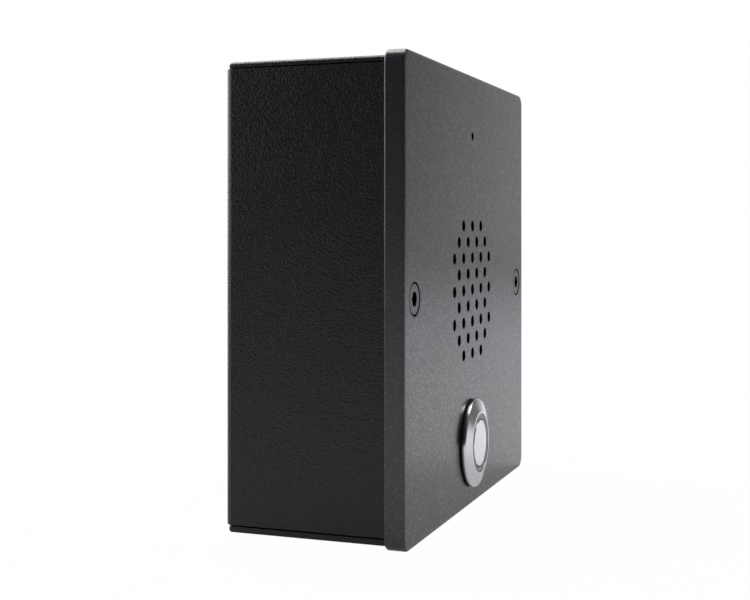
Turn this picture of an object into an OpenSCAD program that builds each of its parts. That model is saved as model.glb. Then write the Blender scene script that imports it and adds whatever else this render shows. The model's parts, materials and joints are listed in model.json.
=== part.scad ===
// Audio intercom panel: a folded steel box that hangs on a wall or counter front, and a thick
// front panel that carries a loudspeaker, a microphone and one lit push button.

/* [Front panel] */
// Width of the front panel
panel_w = 120; // [118:1:150]
// Height of the front panel
panel_h = 120; // [118:1:150]
// Thickness of the front panel
panel_t = 5.2; // [4.6:0.2:7]
// Radius of the panel's four corners
panel_corner_r = 3.5; // [1:0.5:6]
// Chamfer round the panel's front edge
panel_edge = 0.4; // [0.2:0.1:0.8]
// Height of the screw line and the loudspeaker above the middle of the panel
middle_rise = 0; // [0:0.2:2]
// From the panel's top edge down to the microphone
mic_drop = 17; // [15.5:0.5:18]
// From the panel's bottom edge up to the push button
button_rise = 17; // [17:0.5:20]

/* [Grille] */
// Diameter of a sound hole
grille_hole_d = 3; // [2:0.1:4]
// Distance between neighbouring holes of one row
grille_pitch = 8.9; // [7:0.1:9.4]
// Diameter of the microphone's hole
mic_hole_d = 2.2; // [1.2:0.2:3]

/* [Box] */
// Depth of the box, from the wall to the panel's rear face
box_d = 42.6; // [39.4:0.2:60]
// How far the panel stands out past the box on every side
panel_overhang = 1.3; // [0.7:0.1:2]
// Thickness of the box's sheet steel
sheet_t = 1.5; // [1:0.1:1.8]
// Inner radius of the box's folds
fold_inner_r = 0.5; // [0.2:0.1:1]
// Width of the open seams at the folded corners
seam = 0.3; // [0.1:0.05:0.6]

/* [Wall fixing] */
// Distance between the wall screws, across and up
wall_pitch = 90; // [86:1:92]
// Diameter of a wall screw's hole
wall_hole_d = 5.2; // [4.2:0.1:6]
// Bore of the cable bushing
cable_bore_d = 10; // [6:0.5:12]

/* [Panel screws] */
// From the panel's side edge to a panel screw
screw_inset = 8; // [7.6:0.1:9]
// Thread of the panel screws
screw_d = 4; // [3:0.5:5]
// Diameter of the countersunk heads
screw_head_d = 8; // [7:0.2:8.6]
// How deep the heads sit below the panel's face
screw_sink = 0.1; // [0.1:0.1:0.5]

/* [Push button] */
// Thread of the button's barrel
barrel_d = 21.9; // [21:0.1:22]
// Diameter of the bezel
bezel_d = 24.6; // [24:0.2:27]
// Diameter of the narrow rim on the bezel's front
rim_d = 17.2; // [17.2:0.2:18.4]
// Diameter of the lit ring
ring_d = 16.3; // [16:0.1:16.4]
// Diameter of the disc that is pressed
actuator_d = 12.9; // [12:0.1:13]
// Travel of the disc
button_travel = 1.8; // [1:0.2:2.4]

/* [Loudspeaker] */
// Diameter of the loudspeaker's flange
speaker_d = 50; // [50:1:54]
// Diameter of the magnet
magnet_d = 30; // [28:1:32]
// Height of the magnet
magnet_h = 6; // [5:0.5:8]
// Travel of the cone each way
cone_travel = 0.5; // [0.2:0.1:0.6]

/* [Microphone] */
// Diameter of the microphone capsule
capsule_d = 9.7; // [6:0.1:10]
// Length of the microphone capsule
capsule_l = 6.5; // [5:0.5:7]

/* [Circuit board] */
// Width of the circuit board
board_w = 76; // [74:1:78]
// Height of the circuit board
board_h = 58; // [56:1:60]
// Thickness of the circuit board
board_t = 1.6; // [1.2:0.2:2]
// Height of the board's standoffs
standoff_h = 5; // [4:0.5:6]

/* [Hidden] */
$fn = 64;

// How far a cutting shape reaches past the face it cuts
past = 1;
// Gap all round between a threaded piece and its hole
thread_gap = 0.02;
// Gap all round of a sliding or turning fit
slide_gap = 0.05;
// Hexagon corner distance for one millimetre across the flats
hex = 1 / cos(30);

// Levels, measured from the wall
panel_back = box_d;
panel_face = panel_back + panel_t;
board_back = sheet_t + standoff_h;
board_face = board_back + board_t;

// Box
box_w = panel_w - 2 * panel_overhang;
box_h = panel_h - 2 * panel_overhang;
fold_r = sheet_t + fold_inner_r;
// Cut-out at each rear corner, so that the folds don't meet
relief_gap = 0.5;
relief_w = fold_r + relief_gap;
strip_setback = 1.2;
ease_h = 1.4;
ease_d = 0.6;
// Tabs welded inside the side walls, which take the panel screws
tab_w = 18;
tab_t = 2;
tab_reach = 6;

// Cable bushing
cable_inset = 30;
cable_rise = 23;
cable_x = cable_inset - box_w / 2;
cable_y = cable_rise - box_h / 2;
bushing_wall = 3;
bushing_flange = 2;
bushing_flange_t = 1.5;
bushing_hole_d = cable_bore_d + 2 * bushing_wall;

// Panel screws and their welded nuts
screw_x = panel_w / 2 - screw_inset;
screw_clearance = 0.5;
screw_hole_d = screw_d + screw_clearance;
screw_l = 14;
socket_d = 4;
socket_depth = 1.6;
socket_lobes = 6;
socket_lobe_d = 1;
socket_pin_d = 0.9;
nut_af = 1.75 * screw_d;
nut_t = 0.8 * screw_d;
// Straight rim above the cone of a screw head
head_rim = 0.3;
countersink_d = screw_head_d + 2 * (screw_sink + head_rim);

// Heights of the panel's fittings
mic_y = panel_h / 2 - mic_drop;
button_y = button_rise - panel_h / 2;

// Sound holes in each row, from the top
grille_rows = [3, 4, 5, 4, 5, 4, 5, 4, 3];

// Push button, from the panel's face outwards
seal_t = 0.45;
seal_setback = 0.3;
seal_d = bezel_d - 2 * seal_setback;
bezel_back = panel_face + seal_t;
bezel_edge_h = 0.95;
bezel_h = 1.95;
bezel_front = bezel_back + bezel_h;
barrel_clearance = 0.3;
button_hole_d = barrel_d + barrel_clearance;
ring_pocket_d = ring_d + 2 * slide_gap;
ring_pocket_depth = 2.2;
ring_t = 2.1;
actuator_gap = 0.3;
ring_bore_d = actuator_d + 2 * actuator_gap;
ring_back = bezel_front - ring_pocket_depth;
// Push button, from the panel's face inwards
barrel_l = 18;
barrel_bore_d = 14.4;
barrel_back = bezel_back - barrel_l;
actuator_recess = 0.1;
actuator_front = bezel_front - actuator_recess;
actuator_flange_d = barrel_bore_d - 2 * slide_gap;
actuator_flange_t = 2;
stop_gap = 0.05;
actuator_flange_front = ring_back - stop_gap;
actuator_flange_back = actuator_flange_front - actuator_flange_t;
stem_d = 4;
stem_engaged = 1;
stem_bore_d = 4.8;
stem_spare = 4;
stem_bore_depth = stem_engaged + button_travel + stem_spare;
button_washer_d = 26;
button_washer_t = 0.8;
button_nut_af = 26;
button_nut_t = 3.5;
contact_d = 20;
contact_l = 10;
contact_spigot_l = 5;
contact_back = barrel_back - contact_l;
contact_front = barrel_back + contact_spigot_l;
terminal_count = 4;
terminal_pitch = 4;
terminal_w = 2.8;
terminal_t = 0.5;
terminal_l = 7;
terminal_lead_at = 5;
terminal_lead_z = contact_back - terminal_lead_at;
// Return spring
spring_d = 8;
spring_wire_d = 0.7;
spring_turns = 6;
spring_rings = 12;
spring_sides = 6;
spring_end_gap = 0.05;
spring_back = contact_front + spring_wire_d / 2 + spring_end_gap;
spring_front = actuator_flange_back - spring_wire_d / 2 - spring_end_gap;

// Loudspeaker, from the panel's rear face inwards
speaker_r = speaker_d / 2;
clamp_margin = 0.5;
clamp_r = speaker_r + clamp_margin;
clamp_to_nut = 1;
// The loudspeaker keeps to the screw line, or goes up where the button's nut would meet its clamp
speaker_y = max(middle_rise, button_y + button_nut_af / 2 + clamp_to_nut + clamp_r);
cloth_t = 0.3;
gasket_t = 1.5;
gasket_w = 2.6;
flange_t = 0.8;
flange_w = 2.6;
flange_front = panel_back - cloth_t - gasket_t;
flange_back = flange_front - flange_t;
basket_wall = 0.8;
basket_depth = 9;
basket_back = flange_back - basket_depth;
basket_floor = basket_back - basket_wall;
basket_mouth_r = speaker_r - flange_w;
basket_floor_r = 16.2;
basket_window_d = 5.5;
basket_windows = 4;
plate_r = 14;
plate_t = 2;
plate_back = basket_floor - plate_t;
magnet_bore_r = 9;
magnet_back = plate_back - magnet_h;
yoke_r = 14;
yoke_t = 2;
yoke_back = magnet_back - yoke_t;
pole_r = 6;
coil_bore_r = 6.3;
coil_r = 6.8;
gap_r = 7.3;
coil_l = 7;
cone_neck_gap = 2.3;
cone_neck_z = basket_back + cone_travel + cone_neck_gap;
cone_rim_drop = 0.25;
cone_rim_z = flange_back - cone_rim_drop;
roll_w = 3.4;
cone_rim_r = basket_mouth_r - roll_w;
cone_wall = 0.3;
cone_lip = 0.8;
cap_seat = 0.9;
cap_r = coil_r + cap_seat;
cap_rise = 2;
cap_sphere_r = (cap_r * cap_r + cap_rise * cap_rise) / (2 * cap_rise);
roll_wall = 0.3;
roll_gap = 0.05;
roll_z = cone_rim_z + cone_wall;
strip_w = 10;
strip_h = 2;
strip_t = 0.8;
strip_gap = 0.4;
strip_y = speaker_y + plate_r + strip_gap + strip_h / 2;
tag_x = 3;
tag_w = 1.8;
tag_l = 7;
tag_t = 0.5;
tag_front = basket_floor - strip_t;
// Clamp ring that holds the loudspeaker
clamp_t = 1.2;
clamp_grip = 1.5;
clamp_bore_r = speaker_r - clamp_grip;
clamp_ear_reach = 5.5;
clamp_screw_r = speaker_r + clamp_ear_reach;
clamp_offset = clamp_screw_r / sqrt(2);
clamp_ear_d = 8;
clamp_back = flange_back - clamp_t;
clamp_hole_d = 3.4;
spacer_d = 6.4;
small_screw_d = 2.9;
small_head_d = 5.5;
small_head_h = 1.8;
small_slot_w = 0.8;
small_slot_depth = 0.9;
tapped_d = small_screw_d + 2 * thread_gap;
tapped_floor = 1.6;
tapped_depth = panel_t - tapped_floor;
tapped_spare = 0.4;

// Microphone
boot_wall = 2;
boot_front_t = 1.5;
boot_d = capsule_d + 2 * boot_wall;
boot_overlap = 1;
boot_l = capsule_l + boot_front_t + boot_overlap;
capsule_back = panel_back - boot_front_t - capsule_l;
capsule_pad = 1.3;

// Circuit board
board_y = 21;
board_inset = 5;
board_hole_x = board_w / 2 - board_inset;
board_hole_y = board_h / 2 - board_inset;
board_bottom = board_y - board_h / 2;
board_top = board_y + board_h / 2;
board_hole_d = 3.2;
standoff_af = 5.5;
standoff_foot_d = 4;
standoff_bore_depth = 4;
board_screw_grip = 3;
board_screw_l = board_t + board_screw_grip;
// Terminal block for the cable
ways = 6;
way_pitch = 5;
block_h = 8;
block_depth = 8;
block_rise = 5;
block_y = board_bottom + block_rise;
block_mouth = 3;
block_mouth_depth = 4;
block_mouth_rise = 2.5;
block_mouth_z = board_face + block_mouth_rise;
block_screw_d = 3.4;
block_screw_depth = 2.2;
block_screw_h = 1.8;
// Parts soldered on the board, in two rows above and below its middle
row_offset = 9;
capacitor_d = 8;
capacitor_h = 11;
capacitor_x = 24;
capacitor_y = board_y + row_offset;
chip_w = 10;
chip_h = 6;
chip_t = 2.2;
chip_lift = 0.2;
chip_y = board_y + row_offset;
chip_legs = 4;
chip_leg_pitch = 2.4;
chip_leg_w = 0.6;
chip_leg_l = 1.2;
trimmer_w = 9.5;
trimmer_t = 4.5;
trimmer_x = 26;
trimmer_y = board_y - row_offset;
rotor_d = 6;
rotor_h = 2.2;
rotor_pocket_depth = 1.8;
rotor_slot_w = 0.9;
rotor_slot_depth = 1;
header_h = 7;
header_depth = 5.8;
header_pitch = 2.5;
header_end = 2.5;
button_header_x = 23;
header_inset = 4;
button_header_y = board_bottom + header_inset;
top_header_x = 14;
top_header_y = board_top - header_inset;
header_face = board_face + header_h;

// Leads
lead_d = 1.2;
lead_sides = 8;
lead_steps = 14;
lead_bend = 12;
mic_lead_bend = 8;

// Stands the part up: it is drawn lying on its back, with Z leading away from the wall
module hung() {
    rotate([90, 0, 0]) children();
}

module at(x, y, z) {
    translate([x, y, z]) children();
}

// A round ring standing on the level z
module ring(outer_d, bore_d, z, h) {
    at(0, 0, z) difference() {
        cylinder(d = outer_d, h = h);
        at(0, 0, -past) cylinder(d = bore_d, h = h + 2 * past);
    }
}

// A block centred on x and y that stands on the level z
module block(w, h, z, t) {
    at(-w / 2, -h / 2, z) cube([w, h, t]);
}

module rounded_plate(w, h, r) {
    square([w - 2 * r, h], center = true);
    square([w, h - 2 * r], center = true);
    for (side = [-1, 1], end = [-1, 1])
        translate([side * (w / 2 - r), end * (h / 2 - r)]) circle(r);
}

// Places that repeat
module screw_places() {
    for (side = [-1, 1]) at(side * screw_x, middle_rise, 0) children();
}

module wall_places() {
    for (side = [-1, 1], end = [-1, 1]) at(side * wall_pitch / 2, end * wall_pitch / 2, 0) children();
}

module clamp_places() {
    for (side = [-1, 1], end = [-1, 1])
        at(side * clamp_offset, speaker_y + end * clamp_offset, 0) children();
}

module board_places() {
    for (side = [-1, 1], end = [-1, 1])
        at(side * board_hole_x, board_y + end * board_hole_y, 0) children();
}

module way_places() {
    for (way = [0 : ways - 1]) at((way - (ways - 1) / 2) * way_pitch, block_y, 0) children();
}

module button_place() {
    at(0, button_y, 0) children();
}

module speaker_place() {
    at(0, speaker_y, 0) children();
}

// A slotted pan head screw: its head lies behind the level z and its shank points away from the wall
module pan_screw_outwards(z, length) {
    difference() {
        union() {
            at(0, 0, z - small_head_h) cylinder(d = small_head_d, h = small_head_h);
            at(0, 0, z) cylinder(d = small_screw_d, h = length);
        }
        block(small_head_d + past, small_slot_w, z - small_head_h - past, small_slot_depth + past);
    }
}

// The same screw with its head on the level z and its shank pointing at the wall
module pan_screw_inwards(z, length) {
    at(0, 0, 2 * z) mirror([0, 0, 1]) pan_screw_outwards(z, length);
}

// Tubes that follow a path
function unit(v) = v / norm(v);
function carried(normal, tangent) = unit(normal - (normal * tangent) * tangent);
function carried_normals(tangents, normal, i = 0) =
    i == len(tangents) ? []
    : let (next = carried(normal, tangents[i])) concat([next], carried_normals(tangents, next, i + 1));

module tube(path, tangents, first_normal, d, sides) {
    normals = carried_normals(tangents, first_normal);
    last = len(path) - 1;
    points = [
        for (i = [0 : last], k = [0 : sides - 1])
            let (turn = 360 * k / sides, across = cross(tangents[i], normals[i]))
            path[i] + d / 2 * (cos(turn) * normals[i] + sin(turn) * across)
    ];
    walls = [
        for (i = [0 : last - 1], k = [0 : sides - 1])
            let (a = i * sides + k, b = i * sides + (k + 1) % sides)
            each [[a, a + sides, b + sides], [a, b + sides, b]]
    ];
    first_cap = [for (k = [0 : sides - 1]) k];
    last_cap = [for (k = [sides - 1 : -1 : 0]) last * sides + k];
    polyhedron(points, concat(walls, [first_cap, last_cap]));
}

// A lead leaves its start along one vector and comes to its end along the other
function curve(a, b, c, d, t) =
    pow(1 - t, 3) * a + 3 * pow(1 - t, 2) * t * b + 3 * (1 - t) * t * t * c + pow(t, 3) * d;
function slope(a, b, c, d, t) =
    pow(1 - t, 2) * (b - a) + 2 * (1 - t) * t * (c - b) + t * t * (d - c);

module lead(start, leave, finish, arrive) {
    path = [for (i = [0 : lead_steps]) curve(start, start + leave, finish - arrive, finish, i / lead_steps)];
    tangents = [
        for (i = [0 : lead_steps])
            unit(slope(start, start + leave, finish - arrive, finish, i / lead_steps))
    ];
    tube(path, tangents, [1, 0, 0], lead_d, lead_sides);
}

// Box

// Section of a sheet that is folded up at both ends
module fold_outline(w, r) {
    translate([-w / 2, r]) square([w, box_d - r]);
    translate([r - w / 2, 0]) square([w - 2 * r, box_d]);
    for (side = [-1, 1]) translate([side * (w / 2 - r), r]) circle(r);
}

module fold_section(w) {
    difference() {
        fold_outline(w, fold_r);
        translate([0, sheet_t]) fold_outline(w - 2 * sheet_t, fold_inner_r);
    }
}

module side_walls() {
    rotate([90, 0, 0])
        linear_extrude(box_h - 2 * (sheet_t + seam), center = true) fold_section(box_w);
}

module end_walls(width) {
    rotate([90, 0, 90]) linear_extrude(width, center = true) fold_section(box_h);
}

// The top and bottom walls reach the sides' outer faces, short of the rear face
module end_wall_strips() {
    intersection() {
        end_walls(box_w);
        for (end = [-1, 1])
            at(0, end * (box_h - sheet_t) / 2, 0) block(box_w, sheet_t, strip_setback, box_d - strip_setback);
    }
}

// Takes the tip off the end of each side fold, beside the corner cut-out
module fold_end_cuts() {
    tip = box_h / 2 - sheet_t - seam;
    for (side = [-1, 1], end = [-1, 1])
        at(side * (box_w - relief_w) / 2, 0, 0)
            rotate([90, 0, 90]) linear_extrude(relief_w, center = true)
                polygon([[end * (tip - ease_h), 0], [end * tip, ease_d], [end * tip, 0]]);
}

module back_box() {
    color("#232325") hung() difference() {
        union() {
            side_walls();
            end_walls(box_w - 2 * relief_w);
            end_wall_strips();
        }
        fold_end_cuts();
        wall_places() at(0, 0, -past) cylinder(d = wall_hole_d, h = sheet_t + 2 * past);
        board_places()
            at(0, 0, -past) cylinder(d = standoff_foot_d + 2 * thread_gap, h = sheet_t + 2 * past);
        at(cable_x, cable_y, -past) cylinder(d = bushing_hole_d + 2 * slide_gap, h = sheet_t + 2 * past);
    }
}

module cable_bushing() {
    color("#1b1b1c") hung() at(cable_x, cable_y, 0) difference() {
        union() {
            cylinder(d = bushing_hole_d, h = sheet_t);
            at(0, 0, sheet_t) cylinder(d = bushing_hole_d + 2 * bushing_flange, h = bushing_flange_t);
        }
        at(0, 0, -past) cylinder(d = cable_bore_d, h = sheet_t + bushing_flange_t + 2 * past);
    }
}

module panel_tabs() {
    wall_x = box_w / 2 - sheet_t;
    length = wall_x - screw_x + tab_reach;
    color("#232325") hung() difference() {
        for (side = [-1, 1])
            at(side * (wall_x - length / 2), middle_rise, 0) block(length, tab_w, panel_back - tab_t, tab_t);
        screw_places() at(0, 0, panel_back - tab_t - past) cylinder(d = screw_hole_d, h = tab_t + 2 * past);
    }
}

module panel_nuts() {
    color("silver") hung() screw_places() at(0, 0, panel_back - tab_t - nut_t) difference() {
        cylinder(d = nut_af * hex, h = nut_t, $fn = 6);
        at(0, 0, -past) cylinder(d = screw_d + 2 * thread_gap, h = nut_t + 2 * past);
    }
}

// Front panel

// Diamond that runs along an edge and leaves a chamfer
module edge_diamond() {
    polygon([[-panel_edge, 0], [0, panel_edge], [panel_edge, 0], [0, -panel_edge]]);
}

module panel_edge_cuts() {
    straight_w = panel_w - 2 * panel_corner_r;
    straight_h = panel_h - 2 * panel_corner_r;
    for (side = [-1, 1]) {
        at(side * panel_w / 2, 0, panel_face)
            rotate([90, 0, 0]) linear_extrude(straight_h, center = true) edge_diamond();
        at(0, side * panel_h / 2, panel_face)
            rotate([90, 0, 90]) linear_extrude(straight_w, center = true) edge_diamond();
    }
    for (quarter = [0 : 3]) {
        x = (quarter == 0 || quarter == 3 ? 1 : -1) * straight_w / 2;
        y = (quarter < 2 ? 1 : -1) * straight_h / 2;
        at(x, y, panel_face) rotate(90 * quarter)
            rotate_extrude(angle = 90) translate([panel_corner_r, 0]) edge_diamond();
    }
}

module grille_holes() {
    middle = (len(grille_rows) - 1) / 2;
    for (row = [0 : len(grille_rows) - 1], hole = [0 : grille_rows[row] - 1])
        at((hole - (grille_rows[row] - 1) / 2) * grille_pitch, (middle - row) * grille_pitch / 2, 0)
            at(0, speaker_y, panel_back - past) cylinder(d = grille_hole_d, h = panel_t + 2 * past);
}

// A straight hole with a cone that opens at 45 degrees to the face
module countersunk_hole() {
    cone_h = (countersink_d - screw_hole_d) / 2;
    at(0, 0, panel_back - past) cylinder(d = screw_hole_d, h = panel_t + past);
    at(0, 0, panel_face - cone_h)
        cylinder(d1 = screw_hole_d, d2 = countersink_d + 2 * past, h = cone_h + past);
}

module front_panel() {
    color("#3f4042") hung() difference() {
        at(0, 0, panel_back) linear_extrude(panel_t) rounded_plate(panel_w, panel_h, panel_corner_r);
        panel_edge_cuts();
        grille_holes();
        at(0, mic_y, panel_back - past) cylinder(d = mic_hole_d, h = panel_t + 2 * past);
        button_place() at(0, 0, panel_back - past) cylinder(d = button_hole_d, h = panel_t + 2 * past);
        screw_places() countersunk_hole();
        clamp_places() at(0, 0, panel_back - past) cylinder(d = tapped_d, h = tapped_depth + past);
    }
}

module socket_outline() {
    lobe_at = (socket_d - socket_lobe_d) / 2;
    difference() {
        union() {
            circle(lobe_at);
            for (lobe = [0 : socket_lobes - 1])
                rotate(360 * lobe / socket_lobes) translate([lobe_at, 0]) circle(d = socket_lobe_d);
        }
        circle(d = socket_pin_d);
    }
}

module panel_screws() {
    head_front = panel_face - screw_sink;
    head_r = screw_head_d / 2 - slide_gap;
    shank_r = screw_d / 2;
    color("#3b3c3e") hung() screw_places() difference() {
        rotate_extrude() polygon([
            [0, head_front - screw_l], [shank_r, head_front - screw_l],
            [shank_r, head_front - head_rim - head_r + shank_r], [head_r, head_front - head_rim],
            [head_r, head_front], [0, head_front]
        ]);
        at(0, 0, head_front - socket_depth) linear_extrude(socket_depth + past) socket_outline();
    }
}

// Push button

module bezel_seal() {
    color("#141414") hung() button_place() ring(seal_d, button_hole_d, panel_face, seal_t);
}

module button_housing() {
    bezel_r = bezel_d / 2;
    barrel_r = barrel_d / 2;
    bore_r = barrel_bore_d / 2;
    pocket_r = ring_pocket_d / 2;
    color("#b9bbbd") hung() button_place() rotate_extrude() polygon([
        [bore_r, barrel_back], [barrel_r, barrel_back], [barrel_r, bezel_back], [bezel_r, bezel_back],
        [bezel_r, bezel_back + bezel_edge_h], [rim_d / 2, bezel_front], [pocket_r, bezel_front],
        [pocket_r, ring_back], [bore_r, ring_back]
    ]);
}

module light_ring() {
    color("#8b8d8f") hung() button_place() ring(ring_d, ring_bore_d, ring_back, ring_t);
}

module button_actuator() {
    disc_r = actuator_d / 2;
    flange_r = actuator_flange_d / 2;
    stem_r = stem_d / 2;
    stem_back = contact_front - stem_engaged;
    color("#c9cacb") hung() button_place() rotate_extrude() polygon([
        [0, stem_back], [stem_r, stem_back], [stem_r, actuator_flange_back],
        [flange_r, actuator_flange_back], [flange_r, actuator_flange_front],
        [disc_r, actuator_flange_front], [disc_r, actuator_front], [0, actuator_front]
    ]);
}

module return_spring() {
    steps = spring_turns * spring_rings;
    mean_r = (spring_d - spring_wire_d) / 2;
    rise = (spring_front - spring_back) / steps;
    step = 360 / spring_rings;
    run = mean_r * 2 * PI / spring_rings;
    path = [for (i = [0 : steps]) [mean_r * cos(i * step), mean_r * sin(i * step), spring_back + i * rise]];
    tangents = [for (i = [0 : steps]) unit([-run * sin(i * step), run * cos(i * step), rise])];
    color("silver") hung() button_place() tube(path, tangents, [1, 0, 0], spring_wire_d, spring_sides);
}

module button_washer() {
    color("#a9abad") hung() button_place()
        ring(button_washer_d, button_hole_d, panel_back - button_washer_t, button_washer_t);
}

module button_nut() {
    nut_back = panel_back - button_washer_t - button_nut_t;
    color("#b3b5b7") hung() button_place() at(0, 0, nut_back) difference() {
        cylinder(d = button_nut_af * hex, h = button_nut_t, $fn = 6);
        at(0, 0, -past) cylinder(d = barrel_d + 2 * thread_gap, h = button_nut_t + 2 * past);
    }
}

module contact_block() {
    color("#1d1d1f") hung() button_place() difference() {
        union() {
            at(0, 0, contact_back) cylinder(d = contact_d, h = contact_l);
            at(0, 0, barrel_back) cylinder(d = barrel_bore_d - 2 * thread_gap, h = contact_spigot_l);
        }
        at(0, 0, contact_front - stem_bore_depth) cylinder(d = stem_bore_d, h = stem_bore_depth + past);
    }
}

function terminal_x(i) = (i - (terminal_count - 1) / 2) * terminal_pitch;

module button_terminals() {
    color("#c8a64b") hung() button_place()
        for (i = [0 : terminal_count - 1])
            at(terminal_x(i), 0, 0) block(terminal_w, terminal_t, contact_back - terminal_l, terminal_l);
}

// Loudspeaker

module grille_cloth() {
    color("#161616") hung() speaker_place()
        at(0, 0, panel_back - cloth_t) cylinder(r = speaker_r, h = cloth_t);
}

module speaker_gasket() {
    color("#242424") hung() speaker_place()
        ring(speaker_d, speaker_d - 2 * gasket_w, flange_front, gasket_t);
}

module speaker_frame() {
    color("#4a4b4d") hung() speaker_place() difference() {
        rotate_extrude() polygon([
            [gap_r, basket_floor], [basket_floor_r + basket_wall, basket_floor],
            [basket_floor_r + basket_wall, basket_back], [basket_mouth_r + basket_wall, flange_back],
            [speaker_r, flange_back], [speaker_r, flange_front], [basket_mouth_r, flange_front],
            [basket_mouth_r, flange_back], [basket_floor_r, basket_back], [gap_r, basket_back]
        ]);
        for (window = [0 : basket_windows - 1])
            at(0, 0, (flange_back + basket_back) / 2)
                rotate([0, 90, 360 * window / basket_windows]) cylinder(d = basket_window_d, h = speaker_r);
    }
}

module speaker_plate() {
    color("#b0b2b4") hung() speaker_place()
        ring(2 * plate_r, 2 * gap_r, plate_back, plate_t);
}

module speaker_magnet() {
    color("#2b2c2e") hung() speaker_place()
        ring(magnet_d, 2 * magnet_bore_r, magnet_back, magnet_h);
}

module speaker_yoke() {
    color("#b0b2b4") hung() speaker_place() {
        at(0, 0, yoke_back) cylinder(r = yoke_r, h = yoke_t);
        at(0, 0, yoke_back) cylinder(r = pole_r, h = basket_floor - yoke_back);
    }
}

module voice_coil() {
    color("#a5602c") hung() speaker_place()
        ring(2 * coil_r, 2 * coil_bore_r, cone_neck_z - coil_l, coil_l);
}

module speaker_cone() {
    color("#2a2a2a") hung() speaker_place() rotate_extrude() polygon([
        [coil_bore_r, cone_neck_z], [cap_r, cone_neck_z], [cone_rim_r, cone_rim_z],
        [cone_rim_r + cone_lip, cone_rim_z], [cone_rim_r + cone_lip, roll_z],
        [cone_rim_r, roll_z], [cap_r, cone_neck_z + cone_wall], [coil_bore_r, cone_neck_z + cone_wall]
    ]);
}

// A thin dome that sits on the neck of the cone
module dust_cap() {
    base = cone_neck_z + cone_wall;
    centre = base + cap_rise - cap_sphere_r;
    color("#202020") hung() speaker_place() intersection() {
        at(0, 0, base) cylinder(r = coil_r, h = 2 * cap_rise);
        difference() {
            at(0, 0, centre) sphere(cap_sphere_r);
            at(0, 0, centre) sphere(cap_sphere_r - cone_wall);
        }
    }
}

// Half roll of rubber between the cone's lip and the basket's mouth
module speaker_surround() {
    inner_r = cone_rim_r;
    outer_r = basket_mouth_r - roll_gap;
    middle_r = (inner_r + cone_lip + outer_r) / 2;
    crest = (outer_r - inner_r - cone_lip) / 2;
    lip_w = cone_lip + roll_wall;
    color("#1a1a1a") hung() speaker_place() at(0, 0, roll_z) rotate_extrude() {
        translate([inner_r, 0]) square([lip_w, roll_wall]);
        intersection() {
            translate([inner_r, 0]) square([outer_r - inner_r, 2 * crest]);
            translate([middle_r, 0]) difference() {
                circle(crest);
                circle(crest - roll_wall);
            }
        }
    }
}

module speaker_tag_strip() {
    color("#8a6a3a") hung() at(0, strip_y, 0) block(strip_w, strip_h, tag_front, strip_t);
}

module speaker_tags() {
    tag_y = strip_y + (tag_l - strip_h) / 2;
    color("#c9b26a") hung()
        for (side = [-1, 1])
            at(side * tag_x, tag_y, 0) block(tag_w, tag_l, tag_front - tag_t, tag_t);
}

module clamp_outline() {
    difference() {
        union() {
            circle(clamp_r);
            for (diagonal = [45, 135])
                rotate(diagonal) square([2 * clamp_screw_r, clamp_ear_d], center = true);
            for (side = [-1, 1], end = [-1, 1])
                translate([side * clamp_offset, end * clamp_offset]) circle(d = clamp_ear_d);
        }
        circle(clamp_bore_r);
        for (side = [-1, 1], end = [-1, 1])
            translate([side * clamp_offset, end * clamp_offset]) circle(d = clamp_hole_d);
    }
}

module speaker_clamp() {
    color("#9b9da0") hung() speaker_place() at(0, 0, clamp_back) linear_extrude(clamp_t) clamp_outline();
}

module clamp_spacers() {
    color("#c4c6c8") hung() clamp_places()
        ring(spacer_d, clamp_hole_d, flange_back, panel_back - flange_back);
}

module clamp_screws() {
    length = panel_back + tapped_depth - tapped_spare - clamp_back;
    color("#a7a9ab") hung() clamp_places() pan_screw_outwards(clamp_back, length);
}

// Microphone

module mic_boot() {
    color("#171717") hung() at(0, mic_y, panel_back - boot_l) difference() {
        cylinder(d = boot_d, h = boot_l);
        at(0, 0, -past) cylinder(d = capsule_d + 2 * thread_gap, h = boot_l - boot_front_t + past);
        at(0, 0, -past) cylinder(d = mic_hole_d, h = boot_l + 2 * past);
    }
}

module mic_capsule() {
    color("#c2c4c6") hung() at(0, mic_y, capsule_back) cylinder(d = capsule_d, h = capsule_l);
}

// Circuit board

module board_standoffs() {
    color("#c4c6c8") hung() board_places() difference() {
        union() {
            cylinder(d = standoff_foot_d, h = sheet_t);
            at(0, 0, sheet_t) cylinder(d = standoff_af * hex, h = standoff_h, $fn = 6);
        }
        at(0, 0, board_back - standoff_bore_depth) cylinder(d = tapped_d, h = standoff_bore_depth + past);
    }
}

module control_board() {
    color("#1f5a36") hung() difference() {
        at(0, board_y, 0) block(board_w, board_h, board_back, board_t);
        board_places() at(0, 0, board_back - past) cylinder(d = board_hole_d, h = board_t + 2 * past);
    }
}

module board_screws() {
    color("#a7a9ab") hung() board_places() pan_screw_inwards(board_face, board_screw_l);
}

module terminal_block() {
    color("#2d6b3f") hung() difference() {
        at(0, block_y, 0) block(ways * way_pitch, block_depth, board_face, block_h);
        way_places() {
            at(0, 0, board_face + block_h - block_screw_depth)
                cylinder(d = block_screw_d + 2 * slide_gap, h = block_screw_depth + past);
            at(0, block_mouth_depth / 2 - past - block_depth / 2, 0)
                block(block_mouth, block_mouth_depth + past, block_mouth_z, block_mouth);
        }
    }
}

module terminal_screws() {
    seat = board_face + block_h - block_screw_depth;
    slot = seat + block_screw_h - small_slot_depth;
    color("#b9bbbd") hung() way_places() difference() {
        at(0, 0, seat) cylinder(d = block_screw_d, h = block_screw_h);
        block(block_screw_d + past, small_slot_w, slot, small_slot_depth + past);
    }
}

module capacitors() {
    color("#22304a") hung()
        for (side = [-1, 1])
            at(side * capacitor_x, capacitor_y, board_face) cylinder(d = capacitor_d, h = capacitor_h);
}

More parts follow.
